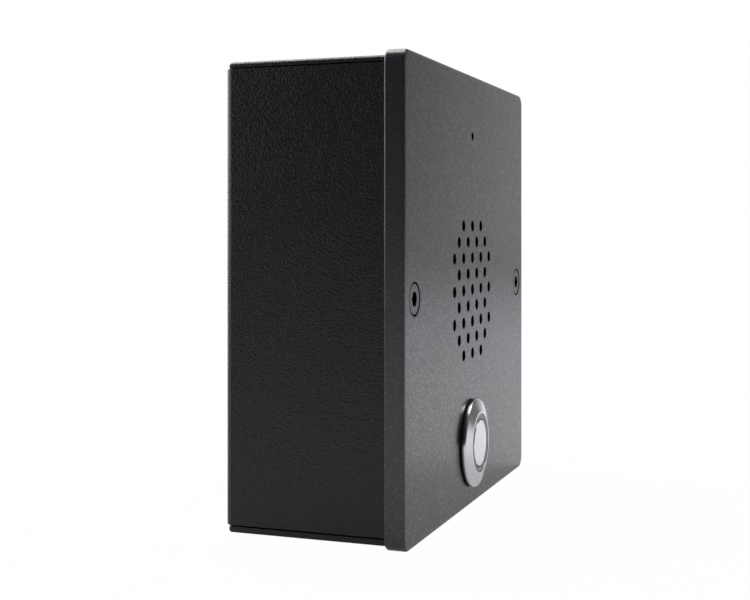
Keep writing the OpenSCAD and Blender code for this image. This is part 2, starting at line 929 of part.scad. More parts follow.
module amplifier_chip() {
    leg_reach = chip_h / 2 + chip_leg_l / 2;
    color("#151516") hung() at(0, chip_y, 0) {
        block(chip_w, chip_h, board_face + chip_lift, chip_t);
        for (leg = [0 : chip_legs - 1], side = [-1, 1])
            at((leg - (chip_legs - 1) / 2) * chip_leg_pitch, side * leg_reach, 0)
                block(chip_leg_w, chip_leg_l, board_face, 2 * chip_lift);
    }
}

module trimmer(x) {
    hung() at(x, trimmer_y, 0) difference() {
        block(trimmer_w, trimmer_w, board_face, trimmer_t);
        at(0, 0, board_face + trimmer_t - rotor_pocket_depth)
            cylinder(d = rotor_d + 2 * slide_gap, h = rotor_pocket_depth + past);
    }
}

module rotor(x) {
    seat = board_face + trimmer_t - rotor_pocket_depth;
    hung() at(x, trimmer_y, 0) difference() {
        at(0, 0, seat) cylinder(d = rotor_d, h = rotor_h);
        block(rotor_d + past, rotor_slot_w, seat + rotor_h - rotor_slot_depth, rotor_slot_depth + past);
    }
}

module volume_trimmer() {
    color("#2a4f8f") trimmer(-trimmer_x);
}

module volume_rotor() {
    color("#e4e2da") rotor(-trimmer_x);
}

module microphone_trimmer() {
    color("#2a4f8f") trimmer(trimmer_x);
}

module microphone_rotor() {
    color("#e4e2da") rotor(trimmer_x);
}

module header(x, y, pins) {
    at(x, y, 0) block((pins - 1) * header_pitch + 2 * header_end, header_depth, board_face, header_h);
}

module lead_headers() {
    color("#dcd8c8") hung() {
        header(button_header_x, button_header_y, terminal_count);
        header(top_header_x, top_header_y, 2);
        header(-top_header_x, top_header_y, 2);
    }
}

// Leads, which end on their headers from the front
module speaker_leads() {
    tag_tip = strip_y - strip_h / 2 + tag_l;
    color("#a02323") hung()
        for (side = [-1, 1])
            lead([side * tag_x, tag_tip, tag_front - tag_t / 2], [0, lead_bend, 0],
                 [top_header_x + side * header_pitch / 2, top_header_y, header_face], [0, 0, -lead_bend]);
}

module microphone_leads() {
    color("#d0d0cc") hung()
        for (side = [-1, 1])
            lead([side * capsule_pad, mic_y, capsule_back], [0, 0, -mic_lead_bend],
                 [side * header_pitch / 2 - top_header_x, top_header_y, header_face], [0, 0, -mic_lead_bend]);
}

module button_leads() {
    pin_share = header_pitch / terminal_pitch;
    color("#26262a") hung()
        for (i = [0 : terminal_count - 1])
            lead([terminal_x(i), button_y + terminal_t / 2, terminal_lead_z], [0, lead_bend, 0],
                 [button_header_x + terminal_x(i) * pin_share, button_header_y, header_face],
                 [0, 0, -lead_bend]);
}

back_box();
cable_bushing();
panel_tabs();
panel_nuts();
front_panel();
panel_screws();
bezel_seal();
button_housing();
light_ring();
button_actuator();
return_spring();
button_washer();
button_nut();
contact_block();
button_terminals();
grille_cloth();
speaker_gasket();
speaker_frame();
speaker_plate();
speaker_magnet();
speaker_yoke();
voice_coil();
speaker_cone();
dust_cap();
speaker_surround();
speaker_tag_strip();
speaker_tags();
speaker_clamp();
clamp_spacers();
clamp_screws();
mic_boot();
mic_capsule();
board_standoffs();
control_board();
board_screws();
terminal_block();
terminal_screws();
capacitors();
amplifier_chip();
volume_trimmer();
volume_rotor();
microphone_trimmer();
microphone_rotor();
lead_headers();
speaker_leads();
microphone_leads();
button_leads();
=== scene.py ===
# %% [markdown]
# # An audio intercom panel for a wall
# The real object is a folded steel box behind a thick square plate. Behind the sound holes in the plate is
# a loudspeaker, above them a microphone, and below them a steel push button. The CAD model already has
# every solid in its place, so it could be rendered as it is, but its edges are razor sharp and its surfaces
# bare. This lesson keeps the CAD model as a fixed frame, makes the pieces that can be seen again with
# softened edges, and gives all of them a finish. Every size below is in millimetres until it is placed.

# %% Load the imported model
import json
import math

import bmesh
import bpy
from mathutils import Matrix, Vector


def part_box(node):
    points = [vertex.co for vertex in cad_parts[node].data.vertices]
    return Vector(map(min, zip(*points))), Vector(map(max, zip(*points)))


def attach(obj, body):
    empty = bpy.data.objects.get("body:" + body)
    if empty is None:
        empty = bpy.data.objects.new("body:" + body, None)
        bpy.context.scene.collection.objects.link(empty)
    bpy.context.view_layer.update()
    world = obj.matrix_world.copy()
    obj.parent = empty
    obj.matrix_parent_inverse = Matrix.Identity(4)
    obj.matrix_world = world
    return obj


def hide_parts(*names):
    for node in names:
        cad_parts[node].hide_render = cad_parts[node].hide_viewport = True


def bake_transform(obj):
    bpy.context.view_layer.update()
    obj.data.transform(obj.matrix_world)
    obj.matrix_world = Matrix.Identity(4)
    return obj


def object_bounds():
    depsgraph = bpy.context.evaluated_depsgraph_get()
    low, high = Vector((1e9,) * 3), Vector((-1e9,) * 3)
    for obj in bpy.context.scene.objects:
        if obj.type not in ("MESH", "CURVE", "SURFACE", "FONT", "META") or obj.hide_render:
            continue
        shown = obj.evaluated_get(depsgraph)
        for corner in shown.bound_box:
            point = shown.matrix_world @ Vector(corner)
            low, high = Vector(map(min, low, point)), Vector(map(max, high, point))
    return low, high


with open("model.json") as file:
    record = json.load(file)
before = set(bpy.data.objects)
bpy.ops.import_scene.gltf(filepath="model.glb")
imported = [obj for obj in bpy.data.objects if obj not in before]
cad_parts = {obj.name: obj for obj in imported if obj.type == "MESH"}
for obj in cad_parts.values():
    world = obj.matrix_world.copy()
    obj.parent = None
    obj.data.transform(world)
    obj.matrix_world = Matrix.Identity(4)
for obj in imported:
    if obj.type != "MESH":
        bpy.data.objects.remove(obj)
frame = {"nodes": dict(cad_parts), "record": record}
CAD_LOW, CAD_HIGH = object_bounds()
MM = 0.001

# %% [markdown]
# ## The camera
# The photograph was taken from the left, close to the wall and a little above the middle of the panel. A
# camera could be aimed by hand until the picture looks right. Here its place, its turn and its lens come
# from the corners of the box and the panel in the photograph. The upright edges are exactly upright there,
# so the camera stands level, and a small lens shift puts the object in the middle of the picture, as a
# studio camera does.

# %% Camera
IMAGE_WIDTH = 750
CAMERA_AT = Vector((-338.79, -141.97, 17.15)) * MM
CAMERA_TURN = math.radians(20.007)
SHIFT_PIXELS = -71.73

camera_data = bpy.data.cameras.new("camera")
camera_data.lens = 59.87
camera_data.sensor_width = 36.0
camera_data.sensor_fit = "HORIZONTAL"
camera_data.shift_y = SHIFT_PIXELS / IMAGE_WIDTH
camera_data.clip_start = 0.01
camera = bpy.data.objects.new("camera", camera_data)
camera.location = CAMERA_AT
sight = Vector((math.cos(CAMERA_TURN), math.sin(CAMERA_TURN), 0))
camera.rotation_euler = sight.to_track_quat("-Z", "Y").to_euler()
bpy.context.scene.collection.objects.link(camera)
bpy.context.scene.camera = camera
bpy.context.scene.view_settings.view_transform = "Standard"
print("the camera stands", round(CAMERA_AT.length, 3), "m from the middle of the box's rear")

# %% [markdown]
# ## Nodes, made by short helpers
# A material is a small tree of nodes. Each node could be made and wired line by line. Three helpers keep
# that readable: one makes a node with its settings, one does arithmetic with numbers and the values of
# other nodes, and one starts a node group, which is a tree that several materials share. A group has named
# inputs, so each material can give it its own values.

# %% Node helpers
def add_node(tree, kind, **settings):
    made = tree.nodes.new("ShaderNode" + kind)
    for setting, value in settings.items():
        setattr(made, setting, value)
    return made


def math_node(tree, operation, first, second):
    made = add_node(tree, "Math", operation=operation)
    for place, value in enumerate((first, second)):
        if isinstance(value, (int, float)):
            made.inputs[place].default_value = value
        else:
            tree.links.new(value, made.inputs[place])
    return made.outputs[0]


def start_group(name, inputs, outputs):
    group = bpy.data.node_groups.new(name, "ShaderNodeTree")
    for label, kind, value in inputs:
        socket = group.interface.new_socket(label, in_out="INPUT", socket_type=kind)
        socket.default_value = value
    for label in outputs:
        group.interface.new_socket(label, in_out="OUTPUT", socket_type="NodeSocketFloat")
    return group, group.nodes.new("NodeGroupInput"), group.nodes.new("NodeGroupOutput")


print("node helpers are ready")

# %% [markdown]
# ## Light
# A coat of paint and a steel button mostly show what stands round them, and the photograph tells what that
# was: a white backdrop behind and to the right, a brighter light straight behind, a pale room to the right,
# and a dark one to the left and behind the camera. A picture of a studio could be wrapped round the scene.
# Here it is a formula: the world is dim, and brighter within three soft cones of directions. To the camera
# it is plain white. Two square lamps, one high on the right and a weaker one in front of it, add the light
# on the floor and the panel.

# %% World
ROOM_GLOW = 0.03
ROOM_AXIS = (0.94, -0.10, 0.34)
ROOM_EDGE = (-0.30, 0.40)
ROOM_LEVEL = 0.12
BACKDROP_AXIS = (0.574, 0.819, -0.25)
BACKDROP_EDGE = (0.15, 0.42)
BACKDROP_LEVEL = 0.52
BACK_LIGHT_AXIS = (-0.12, 0.96, 0.26)
BACK_LIGHT_EDGE = (0.60, 0.86)
BACK_LIGHT_LEVEL = 2.3

world = bpy.data.worlds.new("studio")
bpy.context.scene.world = world
world.use_nodes = True
sky = world.node_tree
sky.nodes.clear()
heading = add_node(sky, "TexCoord")
seen = add_node(sky, "LightPath")


def soft_cone(axis, edge, strength):
    toward = add_node(sky, "VectorMath", operation="DOT_PRODUCT")
    toward.inputs[1].default_value = axis
    sky.links.new(heading.outputs["Generated"], toward.inputs[0])
    rise = add_node(sky, "MapRange", interpolation_type="SMOOTHSTEP")
    rise.inputs["From Min"].default_value = edge[0]
    rise.inputs["From Max"].default_value = edge[1]
    rise.inputs["To Max"].default_value = strength
    sky.links.new(toward.outputs["Value"], rise.inputs["Value"])
    return rise.outputs["Result"]


backdrop = soft_cone(BACKDROP_AXIS, BACKDROP_EDGE, BACKDROP_LEVEL)
back_light = soft_cone(BACK_LIGHT_AXIS, BACK_LIGHT_EDGE, BACK_LIGHT_LEVEL)
far_room = math_node(sky, "ADD", soft_cone(ROOM_AXIS, ROOM_EDGE, ROOM_LEVEL), ROOM_GLOW)
room = math_node(sky, "ADD", math_node(sky, "ADD", backdrop, back_light), far_room)
plain = math_node(sky, "MAXIMUM", seen.outputs["Is Camera Ray"], seen.outputs["Is Transmission Ray"])
mirrored = math_node(sky, "MULTIPLY", seen.outputs["Is Glossy Ray"], backdrop)
level = math_node(sky, "MAXIMUM", math_node(sky, "MAXIMUM", room, mirrored), plain)
paper = add_node(sky, "Background")
paper.inputs["Color"].default_value = (1, 1, 1, 1)
sky.links.new(level, paper.inputs["Strength"])
sky_out = add_node(sky, "OutputWorld")
sky.links.new(paper.outputs["Background"], sky_out.inputs["Surface"])
print("the world is white to the camera, and a backdrop in a dim room to everything else")

# %% Lamps
LAMP_TINT = (0.96, 0.96, 1.0)


def soft_lamp(name, place, aim, width, power):
    data = bpy.data.lights.new(name, "AREA")
    data.shape = "SQUARE"
    data.size = width
    data.energy = power
    data.color = LAMP_TINT
    lamp = bpy.data.objects.new(name, data)
    lamp.location = place
    lamp.rotation_euler = (Vector(aim) - Vector(place)).to_track_quat("-Z", "Y").to_euler()
    bpy.context.scene.collection.objects.link(lamp)
    return lamp


high_lamp = soft_lamp("high_lamp", place=(0.45, 0.35, 1.10), aim=(0.45, 0.35, 0.0), width=1.0, power=12.0)
fill_lamp = soft_lamp("fill_lamp", place=(0.35, -0.55, 0.95), aim=(0.1, -0.15, 0.0), width=0.5, power=3.2)
print("lamps of", high_lamp.data.energy, "and", fill_lamp.data.energy, "W")

# %% [markdown]
# ## Floor
# A plain pale floor lies under the panel. It could be left out for a white picture, but then the lower half
# of the box would have no white to mirror. To the camera it is nearly white, with only a trace of the
# object's shadow, so that it runs into the background without a line.

# %% Floor
FLOOR_REACH = 4.0
FLOOR_UP = CAD_LOW.z
FLOOR_PALE = (0.67, 0.67, 0.70, 1)


def object_from(mesh, name):
    data = bpy.data.meshes.new(name)
    mesh.to_mesh(data)
    mesh.free()
    made = bpy.data.objects.new(name, data)
    bpy.context.scene.collection.objects.link(made)
    return made


floor_mesh = bmesh.new()
corners = ((-1, -1), (1, -1), (1, 1), (-1, 1))
floor_mesh.faces.new([floor_mesh.verts.new((FLOOR_REACH * x, FLOOR_REACH * y, FLOOR_UP)) for x, y in corners])
floor = object_from(floor_mesh, "floor")

floor_paint = bpy.data.materials.new("floor_paint")
floor_paint.use_nodes = True
tree = floor_paint.node_tree
matt = tree.nodes["Principled BSDF"]
matt.inputs["Base Color"].default_value = FLOOR_PALE
matt.inputs["Roughness"].default_value = 0.9
matt.inputs["Specular IOR Level"].default_value = 0.1
glow = add_node(tree, "Emission")
glow.inputs["Color"].default_value = (1, 1, 1, 1)
floor_seen = add_node(tree, "LightPath")
floor_mix = add_node(tree, "MixShader")
floor_place = add_node(tree, "TexCoord")
floor_far = add_node(tree, "VectorMath", operation="LENGTH")
tree.links.new(floor_place.outputs["Object"], floor_far.inputs[0])


def fade(near, far, start, end):
    made = add_node(tree, "MapRange", interpolation_type="SMOOTHSTEP")
    for label, value in (("From Min", near), ("From Max", far), ("To Min", start), ("To Max", end)):
        made.inputs[label].default_value = value
    tree.links.new(floor_far.outputs["Value"], made.inputs["Value"])
    return made.outputs["Result"]


white_seen = fade(near=0.10, far=0.70, start=0.985, end=1.0)
# Painted reflection: to glossy rays the floor glows white, most near the object and fading by 0.7 m.
white_mirrored = fade(near=0.15, far=0.70, start=0.35, end=0.02)
to_camera = math_node(tree, "MULTIPLY", floor_seen.outputs["Is Camera Ray"], white_seen)
to_gloss = math_node(tree, "MULTIPLY", floor_seen.outputs["Is Glossy Ray"], white_mirrored)
whiten = math_node(tree, "MAXIMUM", to_camera, to_gloss)
tree.links.new(whiten, floor_mix.inputs["Fac"])
tree.links.new(matt.outputs["BSDF"], floor_mix.inputs[1])
tree.links.new(glow.outputs["Emission"], floor_mix.inputs[2])
tree.links.new(floor_mix.outputs["Shader"], tree.nodes["Material Output"].inputs["Surface"])
floor.data.materials.append(floor_paint)
print("the floor is at", round(FLOOR_UP, 4), "m")

# %% [markdown]
# ## Shared effects
# Six effects come back in many finishes. Grain is the tiny relief of plastic, film and rubber. Pebbles are
# the separate small lumps of fine powder paint and foam. Leather is the wrinkled relief of a structured
# coat. Patches are the faint unevenness of any real surface in colour and gloss. Turned lines are the
# circles that a lathe leaves on steel. Weave is cloth, thread over thread. Image textures could hold them,
# but a formula stays sharp at any distance and needs no unwrapping, because all of these read the place of
# a point on the object.

# %% Grain
FLOAT = "NodeSocketFloat"


def noise_node(tree, place, scale, detail):
    made = add_node(tree, "TexNoise")
    made.inputs["Detail"].default_value = detail
    tree.links.new(place.outputs["Object"], made.inputs["Vector"])
    tree.links.new(scale, made.inputs["Scale"])
    return made


grain, grain_in, grain_out = start_group("grain", [("Size", FLOAT, 0.0008)], ["Height"])
place = add_node(grain, "TexCoord")
cells = add_node(grain, "TexVoronoi", feature="SMOOTH_F1")
cells.inputs["Smoothness"].default_value = 0.7
grain.links.new(place.outputs["Object"], cells.inputs["Vector"])
fineness = math_node(grain, "DIVIDE", 1.0, grain_in.outputs["Size"])
grain.links.new(fineness, cells.inputs["Scale"])
dust = noise_node(grain, place, math_node(grain, "MULTIPLY", fineness, 1.3), 3.0)
rough = math_node(grain, "ADD", cells.outputs["Distance"], dust.outputs["Fac"])
grain.links.new(rough, grain_out.inputs["Height"])
print("group", grain.name)

# %% Pebbles
pebbles, pebbles_in, pebbles_out = start_group("pebbles", [("Size", FLOAT, 0.0008)], ["Height"])
place = add_node(pebbles, "TexCoord")
density = math_node(pebbles, "DIVIDE", 1.0, pebbles_in.outputs["Size"])
lumps = add_node(pebbles, "TexVoronoi", feature="F1")
pebbles.links.new(place.outputs["Object"], lumps.inputs["Vector"])
pebbles.links.new(density, lumps.inputs["Scale"])
domes = add_node(pebbles, "MapRange", interpolation_type="SMOOTHSTEP")
domes.inputs["From Min"].default_value = 0.62
domes.inputs["From Max"].default_value = 0.05
pebbles.links.new(lumps.outputs["Distance"], domes.inputs["Value"])
powder = noise_node(pebbles, place, math_node(pebbles, "MULTIPLY", density, 0.8), 2.0)
light_powder = math_node(pebbles, "MULTIPLY", powder.outputs["Fac"], 0.3)
lumpy = math_node(pebbles, "ADD", domes.outputs["Result"], light_powder)
pebbles.links.new(lumpy, pebbles_out.inputs["Height"])
print("group", pebbles.name)

# %% Leather
leather, leather_in, leather_out = start_group("leather", [("Size", FLOAT, 0.0008)], ["Height"])
place = add_node(leather, "TexCoord")
creases = noise_node(leather, place, math_node(leather, "DIVIDE", 1.0, leather_in.outputs["Size"]), 1.0)
leather.links.new(creases.outputs["Fac"], leather_out.inputs["Height"])
print("group", leather.name)

# %% Patches
patches, patches_in, patches_out = start_group("patches", [("Size", FLOAT, 0.02)], ["Value"])
place = add_node(patches, "TexCoord")
cloud = noise_node(patches, place, math_node(patches, "DIVIDE", 1.0, patches_in.outputs["Size"]), 4.0)
cloud.inputs["Roughness"].default_value = 0.6
patches.links.new(cloud.outputs["Fac"], patches_out.inputs["Value"])
print("group", patches.name)

# %% Turned lines
turned_lines, lines_in, lines_out = start_group(
    "turned_lines", [("Centre", "NodeSocketVector", (0, 0, 0)), ("Pitch", FLOAT, 0.0001)], ["Lines"]
)
place = add_node(turned_lines, "TexCoord")
arm = add_node(turned_lines, "VectorMath", operation="SUBTRACT")
turned_lines.links.new(place.outputs["Object"], arm.inputs[0])
turned_lines.links.new(lines_in.outputs["Centre"], arm.inputs[1])
flat = add_node(turned_lines, "VectorMath", operation="MULTIPLY")
flat.inputs[1].default_value = (1, 0, 1)
turned_lines.links.new(arm.outputs["Vector"], flat.inputs[0])
reach = add_node(turned_lines, "VectorMath", operation="LENGTH")
turned_lines.links.new(flat.outputs["Vector"], reach.inputs[0])
tool_marks = add_node(turned_lines, "TexNoise", noise_dimensions="1D")
tool_marks.inputs["Detail"].default_value = 3.0
tool_marks.inputs["Scale"].default_value = 1.0
turns = math_node(turned_lines, "DIVIDE", reach.outputs["Value"], lines_in.outputs["Pitch"])
turned_lines.links.new(turns, tool_marks.inputs["W"])
turned_lines.links.new(tool_marks.outputs["Fac"], lines_out.inputs["Lines"])
print("group", turned_lines.name)

# %% Weave
weave, weave_in, weave_out = start_group("weave", [("Thread", FLOAT, 0.0004)], ["Height"])
place = add_node(weave, "TexCoord")
axes = add_node(weave, "SeparateXYZ")
weave.links.new(place.outputs["Object"], axes.inputs["Vector"])
waves = []
for axis in ("X", "Z"):
    phase = math_node(weave, "DIVIDE", axes.outputs[axis], weave_in.outputs["Thread"])
    waves.append(math_node(weave, "SINE", math_node(weave, "MULTIPLY", phase, math.pi), 0.0))
crossing = math_node(weave, "MULTIPLY", waves[0], waves[1])
weave.links.new(math_node(weave, "ABSOLUTE", crossing, 0.0), weave_out.inputs["Height"])
print("group", weave.name)

# %% [markdown]
# ## Finishes
# A finish is a Principled shader with something that changes over the surface on its colour, its roughness
# and its relief. A flat colour would look like plastic film on everything. One helper does the common case:
# patches shift the colour and the gloss a little, and grain, pebbles or leather lift the surface by a small
# part of a millimetre.

# %% A finish with patches and relief
GLOSS_SHIFT = 0.12


def make_finish(
    name, colour, roughness, metallic=0.0, shift=0.15, patch=12, size=0.4, lift=0.01, surface=grain
):
    material = bpy.data.materials.new(name)
    material.use_nodes = True
    tree = material.node_tree
    shader = tree.nodes["Principled BSDF"]
    shader.inputs["Metallic"].default_value = metallic
    area = add_node(tree, "Group", node_tree=patches)
    area.inputs["Size"].default_value = patch * MM
    tint = add_node(tree, "Mix", data_type="RGBA")
    tint.inputs["A"].default_value = (*[c * (1 - shift) for c in colour], 1)
    tint.inputs["B"].default_value = (*[min(1, c * (1 + shift)) for c in colour], 1)
    tree.links.new(area.outputs["Value"], tint.inputs["Factor"])
    tree.links.new(tint.outputs["Result"], shader.inputs["Base Color"])
    gloss = add_node(tree, "MapRange")
    gloss.inputs["To Min"].default_value = roughness * (1 - GLOSS_SHIFT)
    gloss.inputs["To Max"].default_value = min(1, roughness * (1 + GLOSS_SHIFT))
    tree.links.new(area.outputs["Value"], gloss.inputs["Value"])
    tree.links.new(gloss.outputs["Result"], shader.inputs["Roughness"])
    relief = add_node(tree, "Group", node_tree=surface)
    relief.inputs["Size"].default_value = size * MM
    bump = add_node(tree, "Bump")
    bump.inputs["Strength"].default_value = 1.0
    bump.inputs["Distance"].default_value = lift * MM
    tree.links.new(relief.outputs["Height"], bump.inputs["Height"])
    tree.links.new(bump.outputs["Normal"], shader.inputs["Normal"])
    return material


print("one helper for the common finishes")

# %% [markdown]
# ## Finishes of the parts that show
# The box has a structured black powder coat: creases half a millimetre wide, like leather, which break up
# the light. The panel has a much flatter coat, which turns grey where it is seen at a low angle. The screws
# are blackened. All are the common case with their own relief, and how strongly each mirrors its
# surroundings is set on the shader itself. A bump hardly shows at a low angle, so on the box and the panel
# a clear layer comes and goes with the relief, and its glints are the flecks of the paint.

# %% Paints
def set_mirror(material, level):
    material.node_tree.nodes["Principled BSDF"].inputs["Specular IOR Level"].default_value = level


FLECKS_ABOVE = 0.3
FLECK_ROUGHNESS = 0.2


def flecked(material, weight):
    tree = material.node_tree
    shader = tree.nodes["Principled BSDF"]
    bump = shader.inputs["Normal"].links[0].from_node
    clear = add_node(tree, "MapRange")
    clear.inputs["From Min"].default_value = FLECKS_ABOVE
    clear.inputs["To Max"].default_value = weight
    tree.links.new(bump.inputs["Height"].links[0].from_socket, clear.inputs["Value"])
    tree.links.new(clear.outputs["Result"], shader.inputs["Coat Weight"])
    shader.inputs["Coat Roughness"].default_value = FLECK_ROUGHNESS


BOX_BLACK = (0.0105, 0.0105, 0.0128)
PANEL_BLACK = (0.018, 0.018, 0.0215)
SCREW_BLACK = (0.040, 0.040, 0.041)
RUBBER_BLACK = (0.012, 0.012, 0.012)
CREASED = dict(size=0.5, lift=0.125, surface=leather)
POWDERED = dict(size=1.0, lift=0.006, surface=pebbles)
box_coat = make_finish("box_coat", BOX_BLACK, 0.20, shift=0.25, patch=30, **CREASED)
panel_coat = make_finish("panel_coat", PANEL_BLACK, 0.22, shift=0.1, patch=40, **POWDERED)
screw_coat = make_finish("screw_coat", SCREW_BLACK, 0.32, shift=0.15, patch=4, size=0.20, lift=0.004)
black_rubber = make_finish("black_rubber", RUBBER_BLACK, 0.7, shift=0.2, patch=5, size=0.25)
flecked(box_coat, 0.25)
flecked(panel_coat, 0.45)
set_mirror(box_coat, 0.28)
set_mirror(panel_coat, 0.62)
set_mirror(screw_coat, 0.9)
print(box_coat.name, panel_coat.name, screw_coat.name, black_rubber.name)

# %% [markdown]
# ## Painted shade in the hollows
# The sound holes, the countersinks and the screws' sockets are black, and their shade is painted.
# Separate black pieces could line them. Here each point of the mesh carries a number, 0 on the face
# and 1 inside a hole, and the paint turns dark and dull where it is 1: a painted shade. It turns
# metallic there too, because a black metal mirrors nothing, while black paint still shines at a low
# angle, so the reflections in the hollows are painted out as well.

# %% Painted shade in the hollows
HOLLOW_SHADE_BLACK = (0.002, 0.002, 0.002, 1)
HOLLOW_SHADE_DULL = 0.95


# Painted shade: black, dull and metallic where the hollow mark is 1.
def paint_hollow_shade(material):
    tree = material.node_tree
    shader = tree.nodes["Principled BSDF"]
    hollow = add_node(tree, "Attribute", attribute_name="hollow")
    for label, kind, dark in (("Base Color", "RGBA", HOLLOW_SHADE_BLACK), ("Roughness", "FLOAT", HOLLOW_SHADE_DULL)):
        blend = add_node(tree, "Mix", data_type=kind)
        tree.links.new(hollow.outputs["Fac"], blend.inputs["Factor"])
        tree.links.new(shader.inputs[label].links[0].from_socket, blend.inputs["A"])
        blend.inputs["B"].default_value = dark
        tree.links.new(blend.outputs["Result"], shader.inputs[label])
    tree.links.new(hollow.outputs["Fac"], shader.inputs["Metallic"])


paint_hollow_shade(panel_coat)
paint_hollow_shade(screw_coat)
print("hollows are dark in", panel_coat.name, "and", screw_coat.name)

# %% [markdown]
# ## Turned steel
# The bezel and the disc of the button were cut on a lathe, and its fine circles pull each reflection out
# into streaks that run from the middle to the edge. Modelling the circles would take thousands of faces.
# The shader's anisotropy does the pulling instead, along a tangent that runs round the button, and the
# turned lines add a little relief and a little change of gloss.

# %% Stainless steel
BUTTON_UP = -43.0
BUTTON_AT = Vector((0, 0, BUTTON_UP)) * MM


def make_turned(name, colour, roughness, metallic, pitch, lift, stretch):
    material = make_finish(name, colour, roughness, metallic, shift=0.05, patch=6, size=0.15, lift=0.001)
    tree = material.node_tree
    shader = tree.nodes["Principled BSDF"]
    marks = add_node(tree, "Group", node_tree=turned_lines)
    marks.inputs["Centre"].default_value = BUTTON_AT
    marks.inputs["Pitch"].default_value = pitch * MM
    bump = shader.inputs["Normal"].links[0].from_node
    bump.inputs["Distance"].default_value = lift * MM
    tree.links.new(marks.outputs["Lines"], bump.inputs["Height"])
    gloss = shader.inputs["Roughness"].links[0].from_node
    tree.links.new(marks.outputs["Lines"], gloss.inputs["Value"])
    if stretch:
        shader.inputs["Anisotropic"].default_value = stretch
        around = add_node(tree, "Tangent", direction_type="RADIAL", axis="Y")
        tree.links.new(around.outputs["Tangent"], shader.inputs["Tangent"])
    return material


STEEL = (0.745, 0.745, 0.757)
RING_GREY = (0.50, 0.50, 0.50)
stainless = make_turned("stainless", STEEL, 0.17, 1.0, pitch=0.12, lift=0.0010, stretch=0.50)
ring_plastic = make_turned("ring_plastic", RING_GREY, 0.38, 0.0, pitch=0.35, lift=0.02, stretch=0.0)
print(stainless.name, ring_plastic.name)

# %% [markdown]
# ## Mesh helpers
# Plates with holes are made from rings: each edge of the plate and of each hole is a stack of closed
# outlines, and quads join one outline to the next. A rounded edge is a few outlines close together. The
# flat faces are then filled between the outlines. Bevel modifiers could round the edges too, but they get
# confused where dozens of holes lie close together, and rings keep every hole round.

# %% Outlines
def spot(across, up, out):
    return Vector((across * MM, -out * MM, up * MM))


def round_outline(across, up, radius, count):
    turns = [2 * math.pi * i / count for i in range(count)]
    return [(across + radius * math.cos(t), up + radius * math.sin(t)) for t in turns]


def square_outline(side, radius, steps):
    made = []
    for quarter, (x, z) in enumerate(((1, 1), (-1, 1), (-1, -1), (1, -1))):
        for i in range(steps + 1):
            turn = math.pi / 2 * (quarter + i / steps)
            reach = side / 2 - radius
            made.append((x * reach + radius * math.cos(turn), z * reach + radius * math.sin(turn)))
    return made


def quarter_round(ease, steps=4):
    turns = [math.pi / 2 * i / steps for i in range(steps + 1)]
    return [(ease * (1 - math.cos(t)), ease * (1 - math.sin(t))) for t in turns]


print("a rounded edge of 1 mm:", [(round(a, 2), round(b, 2)) for a, b in quarter_round(1.0)])

# %% Rings, walls and lids
def ring(mesh, outline, out):
    return [mesh.verts.new(spot(x, z, out)) for x, z in outline]


def wall(mesh, rings):
    for low, high in zip(rings, rings[1:]):
        for i in range(len(low)):
            mesh.faces.new((low[i - 1], low[i], high[i], high[i - 1]))


def lid(mesh, *loops):
    rims = [mesh.edges.get((loop[i - 1], loop[i])) for loop in loops for i in range(len(loop))]
    bmesh.ops.triangle_fill(mesh, use_beauty=True, use_dissolve=False, edges=rims)
    for rim in rims:
        rim.smooth = False


# Marks where shade is painted: 0 on the face, rising to 1 within a small depth below it inside the holes.
def mark_hollow_shade(mesh, face, back, reach, ease):
    paint = mesh.verts.layers.float.new("hollow")
    for corner in mesh.verts:
        out = -corner.co.y / MM
        inside = back < out and max(abs(corner.co.x), abs(corner.co.z)) < reach * MM
        corner[paint] = max(0.0, min(1.0, (face - out) / ease)) if inside else 0.0


def shade_evenly(piece):
    even = piece.modifiers.new("even_shading", "WEIGHTED_NORMAL")
    even.keep_sharp = True
    even.weight = 100


def make_piece(mesh, name, node, material):
    bmesh.ops.recalc_face_normals(mesh, faces=mesh.faces[:])
    piece = object_from(mesh, name)
    piece.data.shade_smooth()
    piece.data.materials.append(material)
    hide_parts(node)
    print(name, "has", len(piece.data.polygons), "faces")
    return piece


def finish_piece(mesh, node, body, material):
    piece = make_piece(mesh, "visual_" + node, node, material)
    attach(piece, body)
    return piece


print("mesh helpers are ready")

# %% [markdown]
# ## The front panel
# On the real object this is a plate 5 mm thick, cut by laser or water jet, drilled, eased along its edges
# and coated. It is the piece that the eye rests on, so it gets rounded edges all over. They take thin lines
# of light and dark from the studio, and those lines tell how thick the plate is.

# %% Places on the panel
PANEL_SIDE = 120.0
PANEL_CORNER = 3.5
PANEL_BACK = -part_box("front_panel")[1].y / MM
PANEL_FACE = -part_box("front_panel")[0].y / MM
FRONT_EASE = 0.5
REAR_EASE = 0.5
REAR_LIP = 0.2
HOLE_EASE = 0.14
COAT_ROLL = 0.05
ROLL_WIDTH = 1.6
MIDDLE_UP = 0.0
MICROPHONE_UP = 43.0
HOLE_PITCH = 8.9
HOLE_ROWS = (3, 4, 5, 4, 5, 4, 5, 4, 3)
SCREW_OUT = 52.0
HOLES_WITHIN = 57.0
CORNER_STEPS = 14
SOUND_HOLE_R = 1.5
MICROPHONE_HOLE_R = 1.1
BUTTON_HOLE_R = 11.1
SCREW_HOLE_R = 2.25
COUNTERSINK = 2.15
CLAMP_OUT = 21.57
TAPPED_R = 1.47
TAPPED_DEPTH = 3.6

sound_holes = []
for row, count in enumerate(HOLE_ROWS):
    row_up = MIDDLE_UP + (row - 4) * HOLE_PITCH / 2
    sound_holes += [((i - (count - 1) / 2) * HOLE_PITCH, row_up) for i in range(count)]
print(len(sound_holes), "sound holes, plate from", round(PANEL_BACK, 2), "to", round(PANEL_FACE, 2), "mm")

# %% Front panel
plate = bmesh.new()


def rim_ring(inset, out):
    outline = square_outline(PANEL_SIDE - 2 * inset, PANEL_CORNER - inset, CORNER_STEPS)
    return ring(plate, outline, out)


